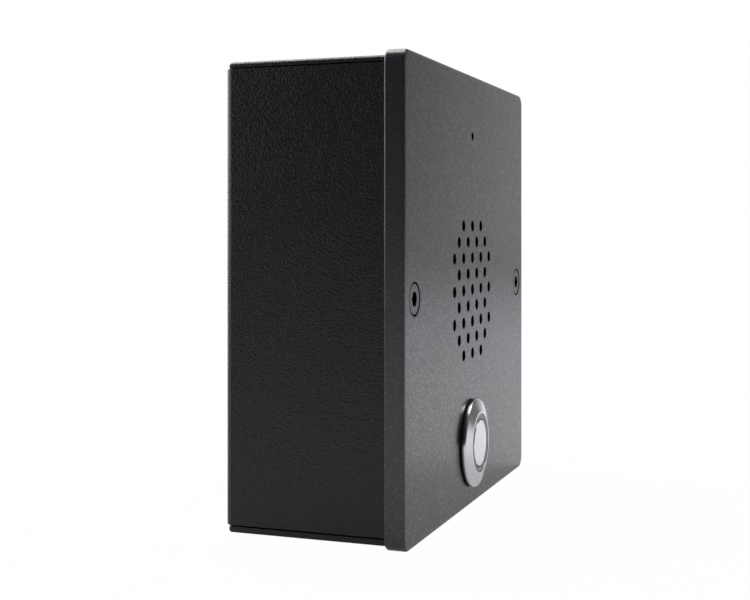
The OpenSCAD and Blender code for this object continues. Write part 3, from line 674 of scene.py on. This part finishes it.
outer = [rim_ring(inset, PANEL_BACK + drop) for inset, drop in reversed(quarter_round(REAR_EASE))]
outer += [rim_ring(inset, PANEL_FACE - COAT_ROLL - drop) for inset, drop in quarter_round(FRONT_EASE)]
for step in (0.25, 0.5, 0.75, 1.0):
    inset = FRONT_EASE + (ROLL_WIDTH - FRONT_EASE) * step
    outer.append(rim_ring(inset, PANEL_FACE - COAT_ROLL * (1 - step) ** 2))
wall(plate, outer)
front_loops = [outer[-1]]
rear_loops = [outer[0]]


def drill(across, up, radius, count, sink=0.0):
    rings = [ring(plate, round_outline(across, up, radius, count), PANEL_BACK + lip) for lip in (0, REAR_LIP)]
    if sink:
        rings.append(ring(plate, round_outline(across, up, radius, count), PANEL_FACE - sink))
    for inset, drop in quarter_round(HOLE_EASE):
        rings.append(ring(plate, round_outline(across, up, radius + sink + inset, count), PANEL_FACE - drop))
    wall(plate, rings)
    rear_loops.append(rings[0])
    front_loops.append(rings[-1])


for across, up in sound_holes:
    drill(across, up, SOUND_HOLE_R, 40)
drill(0, MICROPHONE_UP, MICROPHONE_HOLE_R, 32)
drill(0, BUTTON_UP, BUTTON_HOLE_R, 96)
for side in (-1, 1):
    drill(side * SCREW_OUT, MIDDLE_UP, SCREW_HOLE_R, 64, sink=COUNTERSINK - HOLE_EASE)

# The tapped holes for the loudspeaker's clamp stop inside the plate.
for x, z in ((1, 1), (-1, 1), (-1, -1), (1, -1)):
    outline = round_outline(x * CLAMP_OUT, MIDDLE_UP + z * CLAMP_OUT, TAPPED_R, 32)
    tapped = [ring(plate, outline, PANEL_BACK + depth) for depth in (0, TAPPED_DEPTH)]
    wall(plate, tapped)
    lid(plate, tapped[1])
    rear_loops.append(tapped[0])
lid(plate, *front_loops)
lid(plate, *rear_loops)
# The walls of the holes and the countersinks get painted shade.
mark_hollow_shade(plate, PANEL_FACE, PANEL_BACK + REAR_LIP / 2, HOLES_WITHIN, HOLE_EASE)
front_panel = finish_piece(plate, "front_panel", "panel", panel_coat)
shade_evenly(front_panel)

# %% [markdown]
# ## The box
# The real box is one blank of sheet steel, folded up on four sides, with its corners left open as thin
# seams. Solidify over a folded surface would give the sheet its thickness, but not the seams and the cut
# corners. So the sheet is built as it is bent: one section folded up left and right, one folded up top and
# bottom, and the strips of the end walls that reach over the sides. Each is made with its edges already
# rounded, because a bevel after the booleans leaves spikes in such tight corners. Booleans then join the
# solids and cut the holes.

# %% Box sizes
BOX_SIDE = 117.4
SHEET = 1.5
FOLD = 2.0
SEAM = 0.3
CORNER_CUT = 2.5
STRIP_SETBACK = 1.2
UPPER_STRIP = (1.0, 1.8)
LOWER_STRIP = (0.35, 1.0)
STRIP_END_EASE = 0.55
CUT_EASE = 0.16
TIP_LENGTH = 1.2
TIP_DEPTH = 0.55
BOX_FRONT = PANEL_BACK
SIDE_REACH = BOX_SIDE / 2 - SHEET - SEAM


def arc(across, out, radius, start, end, steps=10, widen=1.0):
    turns = [math.radians(start + (end - start) * i / steps) for i in range(steps + 1)]
    return [(across + widen * radius * math.cos(t), out + radius * math.sin(t)) for t in turns]


def folded_section(shrink=0.0):
    bend = BOX_SIDE / 2 - FOLD
    outer = FOLD - shrink
    inner = FOLD - SHEET + shrink
    front = BOX_FRONT - shrink
    return [
        (-bend - outer, front),
        *arc(-bend, FOLD, outer, 180, 270),
        *arc(bend, FOLD, outer, 270, 360),
        (bend + outer, front),
        (bend + inner, front),
        *arc(bend, FOLD, inner, 360, 270),
        *arc(-bend, FOLD, inner, 270, 180),
        (-bend - inner, front),
    ]


print("the folded section has", len(folded_section()), "points")

# %% [markdown]
# The ends of the side folds lose their tips beside the cut corners, or the two folds would touch. A cutting
# block could take the tip off. Pushing the points of the last few sections in from the rear does the same
# and leaves a rounded end.

# %% Sides and ends of the box
def solid_from(name, rings):
    mesh = bmesh.new()
    made = [[mesh.verts.new(point) for point in loop] for loop in rings]
    wall(mesh, made)
    mesh.faces.new(made[0])
    mesh.faces.new(made[-1])
    bmesh.ops.recalc_face_normals(mesh, faces=mesh.faces[:])
    return object_from(mesh, name)


def tip_push(up):
    past_start = max(0.0, abs(up) - (SIDE_REACH - TIP_LENGTH)) / TIP_LENGTH
    return TIP_DEPTH * (1 - math.sqrt(max(0.0, 1 - past_start ** 2)))


def side_ring(up, shrink):
    push = tip_push(up)
    return [spot(x, up, max(out, push)) for x, out in folded_section(shrink)]


tip_steps = [SIDE_REACH - TIP_LENGTH * (1 - math.sin(math.pi / 2 * i / 6)) for i in range(6)]
half = [(up, 0.0) for up in tip_steps]
half += [(SIDE_REACH - drop, inset) for inset, drop in quarter_round(CUT_EASE, 3)]
half = [(up, shrink) for up, shrink in half if up <= SIDE_REACH - CUT_EASE or shrink > 0]
stations = [(-up, shrink) for up, shrink in reversed(half)] + half
sides = solid_from("sides", [side_ring(up, shrink) for up, shrink in stations])
reaches = (CORNER_CUT - BOX_SIDE / 2, BOX_SIDE / 2 - CORNER_CUT)
ends = solid_from("ends", [[spot(x, z, out) for z, out in folded_section()] for x in reaches])
print(len(stations), "sections along the sides")

# %% [markdown]
# Each end wall reaches over the two sides as a strip, whose cut edge is seen from the side. The photograph
# shows a bright line along the upper strip, so its outer edge is rolled, wider than deep. The lower strip
# keeps a small round edge, and both have a rounded rear end.

# %% Strips of the end walls
def strip_outline(end, shrink):
    side = BOX_SIDE / 2 - min(shrink, CUT_EASE)
    top = BOX_SIDE / 2 - shrink
    low = BOX_SIDE / 2 - SHEET + min(shrink, CUT_EASE)
    small = CUT_EASE / 2
    ease, roll = UPPER_STRIP if end > 0 else LOWER_STRIP
    ease = min(ease, 0.7 * (top - low))
    points = [
        *arc(side - roll * ease, top - ease, ease, 0, 90, 8, roll),
        *arc(roll * ease - side, top - ease, ease, 90, 180, 8, roll),
        *arc(small - side, low + small, small, 180, 270, 3),
        *arc(side - small, low + small, small, 270, 360, 3),
    ]
    return [(x, end * z) for x, z in points]


strips = []
for end in (-1, 1):
    rings = []
    for inset, drop in reversed(quarter_round(STRIP_END_EASE)):
        rings.append([spot(x, z, STRIP_SETBACK + drop) for x, z in strip_outline(end, inset)])
    rings.append([spot(x, z, BOX_FRONT) for x, z in strip_outline(end, 0)])
    strips.append(solid_from("strip", rings))
print(len(strips), "strips")

# %% Holes of the rear wall
WALL_HOLE = (45.0, 45.0, 2.6)
FOOT_ACROSS, FOOT_LOW, FOOT_HIGH, FOOT_RADIUS = 33.0, -3.0, 45.0, 2.02
CABLE_AT = (-28.7, -35.7)
CABLE_HOLE_R = 8.05
DRILL_SPAN = (-1.0, SHEET + 0.8)
rear_holes = [(*CABLE_AT, CABLE_HOLE_R)]
for x in (-1, 1):
    rear_holes += [(x * WALL_HOLE[0], z * WALL_HOLE[1], WALL_HOLE[2]) for z in (-1, 1)]
    rear_holes += [(x * FOOT_ACROSS, z, FOOT_RADIUS) for z in (FOOT_LOW, FOOT_HIGH)]
drills = []
for hole in rear_holes:
    outline = round_outline(*hole, 64)
    drills.append(solid_from("drill", [[spot(x, z, out) for x, z in outline] for out in DRILL_SPAN]))
print(len(drills), "holes in the rear wall")

# %% Join and cut the box
def boolean(target, tool, operation):
    step = target.modifiers.new(operation, "BOOLEAN")
    step.operation = operation
    step.solver = "EXACT"
    step.object = tool


for part in (ends, *strips):
    boolean(sides, part, "UNION")
for drill_bit in drills:
    boolean(sides, drill_bit, "DIFFERENCE")
sides_final = sides.evaluated_get(bpy.context.evaluated_depsgraph_get())
joined = bmesh.new()
joined.from_mesh(sides_final.to_mesh())
bmesh.ops.remove_doubles(joined, verts=joined.verts[:], dist=0.004 * MM)
bmesh.ops.dissolve_limit(joined, angle_limit=math.radians(0.5), verts=joined.verts[:], edges=joined.edges[:])
for part in (sides, ends, *strips, *drills):
    bpy.data.objects.remove(part)
print("the box has", round(joined.calc_volume() / MM ** 3 / 1000, 1), "cubic centimetres of steel")
back_box = finish_piece(joined, "back_box", "panel", box_coat)
back_box.data.set_sharp_from_angle(angle=math.radians(32))
shade_evenly(back_box)

# %% [markdown]
# ## Turned pieces
# The button, its seal, the screws and the bushing are round, so each is a section that is spun about its
# axis. Blender's Screw modifier does that, but the corners of the section have to be rounded first. The
# helper does both: it eases each corner with a small curve, keeps an extra point just beside it so that the
# flat parts shade flat, and joins the rings.

# %% Spinning a section
LONGEST_EASE = 0.62
BESIDE_EASE = 1.25


def eased(section, default, closed=True):
    made = []
    count = len(section)
    for i, corner in enumerate(section):
        here = Vector(corner[:2])
        ease = corner[2] if len(corner) > 2 else default
        if ease == 0 or (not closed and i in (0, count - 1)):
            made.append(tuple(here))
            continue
        before = Vector(section[i - 1][:2]) - here
        after = Vector(section[(i + 1) % count][:2]) - here
        ease = min(ease, LONGEST_EASE * before.length, LONGEST_EASE * after.length)
        first = here + before.normalized() * ease
        last = here + after.normalized() * ease
        made.append(tuple(here + before.normalized() * ease * BESIDE_EASE))
        for step in range(5):
            t = step / 4
            made.append(tuple((1 - t) ** 2 * first + 2 * t * (1 - t) * here + t * t * last))
        made.append(tuple(here + after.normalized() * ease * BESIDE_EASE))
    return made


def spin(mesh, section, across, up, count, closed=True):
    rings = []
    for radius, out in section:
        if radius < 1e-6:
            rings.append([mesh.verts.new(spot(across, up, out))])
        else:
            rings.append(ring(mesh, round_outline(across, up, radius, count), out))
    pairs = list(zip(rings, rings[1:]))
    if closed:
        pairs.append((rings[-1], rings[0]))
    for low, high in pairs:
        for i in range(count):
            if len(low) == 1:
                corners = [low[0], high[i], high[i - 1]]
            elif len(high) == 1:
                corners = [low[i - 1], low[i], high[0]]
            else:
                corners = [low[i - 1], low[i], high[i], high[i - 1]]
            mesh.faces.new(corners)


print("an eased corner has", len(eased([(0, 0), (1, 0), (1, 1)], 0.1)) // 3, "points")

# %% [markdown]
# ## The button
# A stainless bezel stands on a black rubber seal and slopes up to a narrow rim. Inside the rim lies a grey
# ring, and inside that the flat disc that is pressed. A stack of plain cylinders would have the sizes but
# none of the glints, so each section here has its bevel, its rim and its small eased corners. Only the disc
# with its flange and stem moves, so it rides on the button's own body.

# %% Button seal and housing
SEAL_FRONT = PANEL_FACE + 0.45
BEZEL_FRONT = PANEL_FACE + 2.4
RING_BACK = BEZEL_FRONT - 2.2
BARREL_BACK = SEAL_FRONT - 18.0

seal = bmesh.new()
seal_section = [(11.1, PANEL_FACE), (12.0, PANEL_FACE), (12.0, SEAL_FRONT), (11.1, SEAL_FRONT)]
spin(seal, eased(seal_section, 0.12), 0, BUTTON_UP, 128)
finish_piece(seal, "bezel_seal", "panel", black_rubber)

housing = bmesh.new()
housing_section = [
    (7.2, BARREL_BACK, 0.2),
    (10.95, BARREL_BACK, 0.4),
    (10.95, SEAL_FRONT, 0),
    (12.3, SEAL_FRONT, 0.12),
    (12.3, SEAL_FRONT + 0.95, 0.50),
    (8.65, BEZEL_FRONT, 0.14),
    (8.2, BEZEL_FRONT, 0.10),
    (8.2, RING_BACK, 0.08),
    (7.2, RING_BACK, 0.10),
]
spin(housing, eased(housing_section, 0.1), 0, BUTTON_UP, 192)
finish_piece(housing, "button_housing", "panel", stainless)

# %% [markdown]
# The ring has fine circles moulded into its face. A bump could fake them, but the ring is seen at a low
# angle, where only real ridges catch the light, so its section is a row of small waves.

# %% Light ring and disc
RING_FRONT = BEZEL_FRONT - 0.1
RIDGES = 4
RIDGE_STEPS = 8
RIDGE_RISE = 0.03
RIDGES_OUTER = 7.95
RIDGES_INNER = 6.95
waves_section = []
for i in range(RIDGES * RIDGE_STEPS + 1):
    radius = RIDGES_OUTER - (RIDGES_OUTER - RIDGES_INNER) * i / (RIDGES * RIDGE_STEPS)
    wave = math.cos(2 * math.pi * i / RIDGE_STEPS) - 1
    waves_section.append((radius, RING_FRONT + RIDGE_RISE * wave))
ring_mesh = bmesh.new()
ring_low = RING_FRONT - 0.15
ring_section = [(6.75, RING_BACK), (8.15, RING_BACK), (8.15, ring_low), *waves_section, (6.75, ring_low)]
spin(ring_mesh, ring_section, 0, BUTTON_UP, 160)
finish_piece(ring_mesh, "light_ring", "panel", ring_plastic)

DISC_FRONT = BEZEL_FRONT - 0.1
FLANGE_FRONT = RING_BACK - 0.05
STEM_BACK = BARREL_BACK + 4.0
disc = bmesh.new()
disc_section = [
    (0, DISC_FRONT),
    (6.45, DISC_FRONT, 0.22),
    (6.45, FLANGE_FRONT, 0.05),
    (7.15, FLANGE_FRONT, 0.15),
    (7.15, FLANGE_FRONT - 2.0, 0.15),
    (2.0, FLANGE_FRONT - 2.0, 0.1),
    (2.0, STEM_BACK, 0.3),
    (0, STEM_BACK),
]
spin(disc, eased(disc_section, 0.1, closed=False), 0, BUTTON_UP, 160, closed=False)
finish_piece(disc, "button_actuator", "button", stainless)

# %% [markdown]
# ## The screws
# Two countersunk screws hold the panel. Their sockets have six rounded lobes and a pin in the middle, so
# that a common driver doesn't turn them. A boolean could cut the socket, but the outline of the lobes is a
# simple wave round a circle, so it is one more ring in the head.

# %% Panel screws
HEAD_TOP = PANEL_FACE - 0.1
HEAD_R = 3.92
HEAD_RIM = 0.3
HEAD_EDGE = ((0, 0.20), (0.06, 0.08), (0.17, 0.03))
HEAD_FLAT_R = HEAD_R - 0.22
SCREW_SIDES = 72
SCREW_END = HEAD_TOP - 14.0
SHANK_R = 2.0
TIP_EASE = 0.6
SOCKET_R = 1.84
LOBE = 0.12
SOCKET_DEPTH = 2.4
SOCKET_LIP = 0.06
PIN_R = 0.45
PIN_DROP = 1.1


def lobed_outline(across, up, count):
    turns = [2 * math.pi * i / count for i in range(count)]
    reach = [SOCKET_R + LOBE * math.cos(6 * t) for t in turns]
    return [(across + r * math.cos(t), up + r * math.sin(t)) for r, t in zip(reach, turns)]


screw_section = [
    (0, SCREW_END),
    (SHANK_R - TIP_EASE, SCREW_END),
    (SHANK_R, SCREW_END + TIP_EASE),
    (SHANK_R, HEAD_TOP - HEAD_RIM - HEAD_R + SHANK_R),
    (HEAD_R, HEAD_TOP - HEAD_RIM),
    *[(HEAD_R - inset, HEAD_TOP - drop) for inset, drop in HEAD_EDGE],
]
screws = bmesh.new()
for side in (-1, 1):
    x = side * SCREW_OUT
    spin(screws, screw_section, x, MIDDLE_UP, SCREW_SIDES, closed=False)
    screws.verts.ensure_lookup_table()
    last = screws.verts[-SCREW_SIDES:]
    rim = ring(screws, round_outline(x, MIDDLE_UP, HEAD_FLAT_R, SCREW_SIDES), HEAD_TOP)
    wall(screws, [last, rim])
    lobes = lobed_outline(x, MIDDLE_UP, 96)
    socket = [ring(screws, lobes, HEAD_TOP - depth) for depth in (0, SOCKET_LIP, SOCKET_DEPTH)]
    wall(screws, socket)
    pin_round = round_outline(x, MIDDLE_UP, PIN_R, 32)
    pin = [ring(screws, pin_round, HEAD_TOP - depth) for depth in (SOCKET_DEPTH, PIN_DROP)]
    wall(screws, pin)
    lid(screws, rim, socket[0])
    lid(screws, socket[-1], pin[0])
    lid(screws, pin[1])
# Painted shade: the sockets and everything below the flat top, the eased rims of the heads too, turn black.
mark_hollow_shade(screws, HEAD_TOP, 0.0, PANEL_SIDE, SOCKET_LIP)
finish_piece(screws, "panel_screws", "panel", screw_coat)

# %% [markdown]
# ## Rubber, cloth and foam
# A rubber bushing lines the cable hole in the rear wall. Behind the sound holes a thin black cloth is
# stretched over the loudspeaker's foam ring. The cloth is the dark that is seen in each hole, so it has a
# weave of its own, and the foam is crowned where it is not pressed.

# %% Cable bushing
bushing = bmesh.new()
bushing_section = [
    (5.0, 0, 0.3),
    (8.0, 0, 0.25),
    (8.0, SHEET, 0.0),
    (10.0, SHEET, 0.2),
    (10.0, 3.0, 0.4),
    (5.0, 3.0, 0.4),
]
spin(bushing, eased(bushing_section, 0.2), *CABLE_AT, 96)
finish_piece(bushing, "cable_bushing", "panel", black_rubber)

# %% Grille cloth
CLOTH_BLACK = (0.010, 0.010, 0.010)
THREAD = 0.35
cloth = make_finish("cloth", CLOTH_BLACK, 0.95, shift=0.2, patch=8, size=0.3, lift=0.05)
threads = add_node(cloth.node_tree, "Group", node_tree=weave)
threads.inputs["Thread"].default_value = THREAD * MM
cloth_bump = cloth.node_tree.nodes["Principled BSDF"].inputs["Normal"].links[0].from_node
cloth.node_tree.links.new(threads.outputs["Height"], cloth_bump.inputs["Height"])
cloth_low, cloth_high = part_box("grille_cloth")
cloth_r = (cloth_high.x - cloth_low.x) / 2 / MM
cloth_front = -cloth_low.y / MM
cloth_back = -cloth_high.y / MM
cloth_mesh = bmesh.new()
cloth_section = [(0, cloth_front), (cloth_r, cloth_front), (cloth_r, cloth_back), (0, cloth_back)]
spin(cloth_mesh, cloth_section, 0, MIDDLE_UP, 128, closed=False)
grille_cloth = finish_piece(cloth_mesh, "grille_cloth", "panel", cloth)
print("the cloth is cut", round(2 * cloth_r, 1), "mm across")

# %% Foam ring
FOAM_WIDE = 2.6
FOAM_CROWN = 0.25
FOAM_STEPS = 12
FOAM_GREY = (0.03, 0.03, 0.032)
foam = make_finish("foam", FOAM_GREY, 0.95, shift=0.3, patch=2, size=0.5, lift=0.12, surface=pebbles)
foam_low, foam_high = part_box("speaker_gasket")
foam_r = foam_high.x / MM
foam_back = -foam_high.y / MM
foam_thick = (foam_high.y - foam_low.y) / MM
foam_section = []
for i in range(FOAM_STEPS + 1):
    rise = i / FOAM_STEPS
    swell = FOAM_CROWN * (1 - math.sqrt(1 - (2 * rise - 1) ** 2 * 0.96))
    foam_section.append((foam_r - swell, foam_back + foam_thick * rise))
foam_section += [(2 * foam_r - FOAM_WIDE - radius, out) for radius, out in reversed(foam_section)]
foam_mesh = bmesh.new()
spin(foam_mesh, foam_section, 0, MIDDLE_UP, 128)
speaker_gasket = finish_piece(foam_mesh, "speaker_gasket", "panel", foam)
speaker_gasket.data.set_sharp_from_angle(angle=math.radians(40))

# %% [markdown]
# ## Finishes of the parts inside
# Nothing inside can be seen through the closed panel, but the part may be opened in another scene, so every
# CAD node gets the finish of its own material. They are all the common case, with colours from such
# hardware.

# %% Inside finishes
INSIDE = {
    "plated_steel": dict(colour=(0.58, 0.58, 0.56), roughness=0.32, metallic=1.0, shift=0.12, patch=3),
    "black_plastic": dict(colour=(0.02, 0.02, 0.021), roughness=0.5, shift=0.15, patch=6, size=0.2),
    "ferrite": dict(colour=(0.055, 0.055, 0.06), roughness=0.65, shift=0.2, patch=4, size=0.2, lift=0.02),
    "coil_copper": dict(colour=(0.72, 0.36, 0.20), roughness=0.28, metallic=1.0, shift=0.15, patch=1),
    "cone_film": dict(colour=(0.05, 0.05, 0.055), roughness=0.4, shift=0.2, patch=5, size=0.5, lift=0.01),
    "brass_plate": dict(colour=(0.70, 0.56, 0.30), roughness=0.3, metallic=1.0, shift=0.12, patch=2),
    "strip_board": dict(colour=(0.22, 0.12, 0.05), roughness=0.6, shift=0.2, patch=2, size=0.3),
    "board_green": dict(colour=(0.02, 0.12, 0.05), roughness=0.35, shift=0.25, patch=3, size=0.3),
    "block_green": dict(colour=(0.05, 0.30, 0.12), roughness=0.45, shift=0.1, patch=4, size=0.2),
    "capacitor_sleeve": dict(colour=(0.03, 0.04, 0.10), roughness=0.35, shift=0.15, patch=3, size=0.2),
    "trimmer_blue": dict(colour=(0.04, 0.14, 0.42), roughness=0.4, shift=0.1, patch=3, size=0.2),
    "ivory_plastic": dict(colour=(0.75, 0.70, 0.58), roughness=0.45, shift=0.06, patch=3, size=0.2),
    "lead_red": dict(colour=(0.45, 0.03, 0.03), roughness=0.45, shift=0.1, patch=3, size=0.2),
    "lead_white": dict(colour=(0.75, 0.74, 0.70), roughness=0.45, shift=0.06, patch=3, size=0.2),
    "lead_black": dict(colour=(0.02, 0.02, 0.02), roughness=0.45, shift=0.15, patch=3, size=0.2),
}
finishes = {name: make_finish(name, **values) for name, values in INSIDE.items()}
finishes.update(box_coat=box_coat, panel_coat=panel_coat, screw_coat=screw_coat, black_rubber=black_rubber)
finishes.update(stainless=stainless, ring_plastic=ring_plastic, cloth=cloth, foam=foam)
print(len(finishes), "finishes")

# %% [markdown]
# ## Two pieces that give
# The spring behind the disc gets shorter as the disc is pressed, and the rubber roll round the
# loudspeaker's cone bends as the cone moves. If they rode stiffly on the moving body, they would push
# through what holds their other end. So the spring rides on no body here. The roll is moulded in one piece
# on the real object. Here it has two halves that meet at its crest: the inner half is glued to the cone and
# rides on it, and the outer half rides on no body.

# %% Return spring
WIRE_R = 0.35
COIL_R = 3.65
COIL_TURNS = 6
RINGS_A_TURN = 32
WIRE_SIDES = 12

spring_low, spring_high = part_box("return_spring")
spring_back = -spring_high.y / MM + WIRE_R
spring_front = -spring_low.y / MM - WIRE_R
rise = (spring_front - spring_back) / (COIL_TURNS * RINGS_A_TURN)
run = 2 * math.pi * COIL_R / RINGS_A_TURN
coil = bmesh.new()
coil_rings = []
for i in range(COIL_TURNS * RINGS_A_TURN + 1):
    turn = 2 * math.pi * i / RINGS_A_TURN
    away = Vector((math.cos(turn), math.sin(turn), 0))
    along = Vector((-run * math.sin(turn), run * math.cos(turn), rise)).normalized()
    beside = along.cross(away)
    centre = COIL_R * away + Vector((0, BUTTON_UP, spring_back + i * rise))
    angles = [2 * math.pi * k / WIRE_SIDES for k in range(WIRE_SIDES)]
    skin = [centre + WIRE_R * (math.cos(a) * away + math.sin(a) * beside) for a in angles]
    coil_rings.append([coil.verts.new(spot(*point)) for point in skin])
wall(coil, coil_rings)
coil.faces.new(coil_rings[0])
coil.faces.new(coil_rings[-1])
spring_steel = finishes["plated_steel"]
return_spring = make_piece(coil, "visual_return_spring", "return_spring", spring_steel)
return_spring.data.set_sharp_from_angle(angle=math.radians(50))
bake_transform(return_spring)

# %% Loudspeaker surround
ROLL_WALL = 0.3
LIP_WIDE = 0.8
HAIRLINE = 0.01
ROLL_STEPS = 12

roll_low, roll_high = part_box("speaker_surround")
roll_base = -roll_high.y / MM
crest = (roll_high.y - roll_low.y) / MM
roll_middle = roll_high.x / MM - crest
lip_inner = roll_middle - crest - LIP_WIDE


def roll_arc(radius, first, last, shift=0.0):
    turns = [math.radians(first + (last - first) * i / ROLL_STEPS) for i in range(ROLL_STEPS + 1)]
    return [(roll_middle + shift + radius * math.cos(t), roll_base + radius * math.sin(t)) for t in turns]


lip_meets = 180 - math.degrees(math.asin(ROLL_WALL / crest))
inner_half = [(lip_inner, roll_base), *roll_arc(crest - ROLL_WALL, 180, 90), *roll_arc(crest, 90, lip_meets)]
inner_half.append((lip_inner, roll_base + ROLL_WALL))
inner_mesh = bmesh.new()
spin(inner_mesh, inner_half, 0, MIDDLE_UP, 128)
surround_inner = finish_piece(inner_mesh, "speaker_surround", "cone", black_rubber)

outer_half = roll_arc(crest - HAIRLINE, 0, 90, HAIRLINE) + roll_arc(crest - ROLL_WALL, 90, 0, HAIRLINE)
outer_mesh = bmesh.new()
spin(outer_mesh, outer_half, 0, MIDDLE_UP, 128)
edge_name = "visual_speaker_surround_edge"
surround_edge = make_piece(outer_mesh, edge_name, "speaker_surround", black_rubber)
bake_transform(surround_edge)
for roll_half in (surround_inner, surround_edge):
    roll_half.data.set_sharp_from_angle(angle=math.radians(50))

# %% Dress the CAD nodes
dressed = 0
for part in frame["record"]["subparts"]:
    thing = frame["nodes"].get(part["node"])
    if thing is None or thing.hide_render:
        continue
    thing.data.materials.clear()
    thing.data.materials.append(finishes[part["material_slot"]])
    dressed += 1
print(dressed, "CAD nodes keep their shape and get a finish")
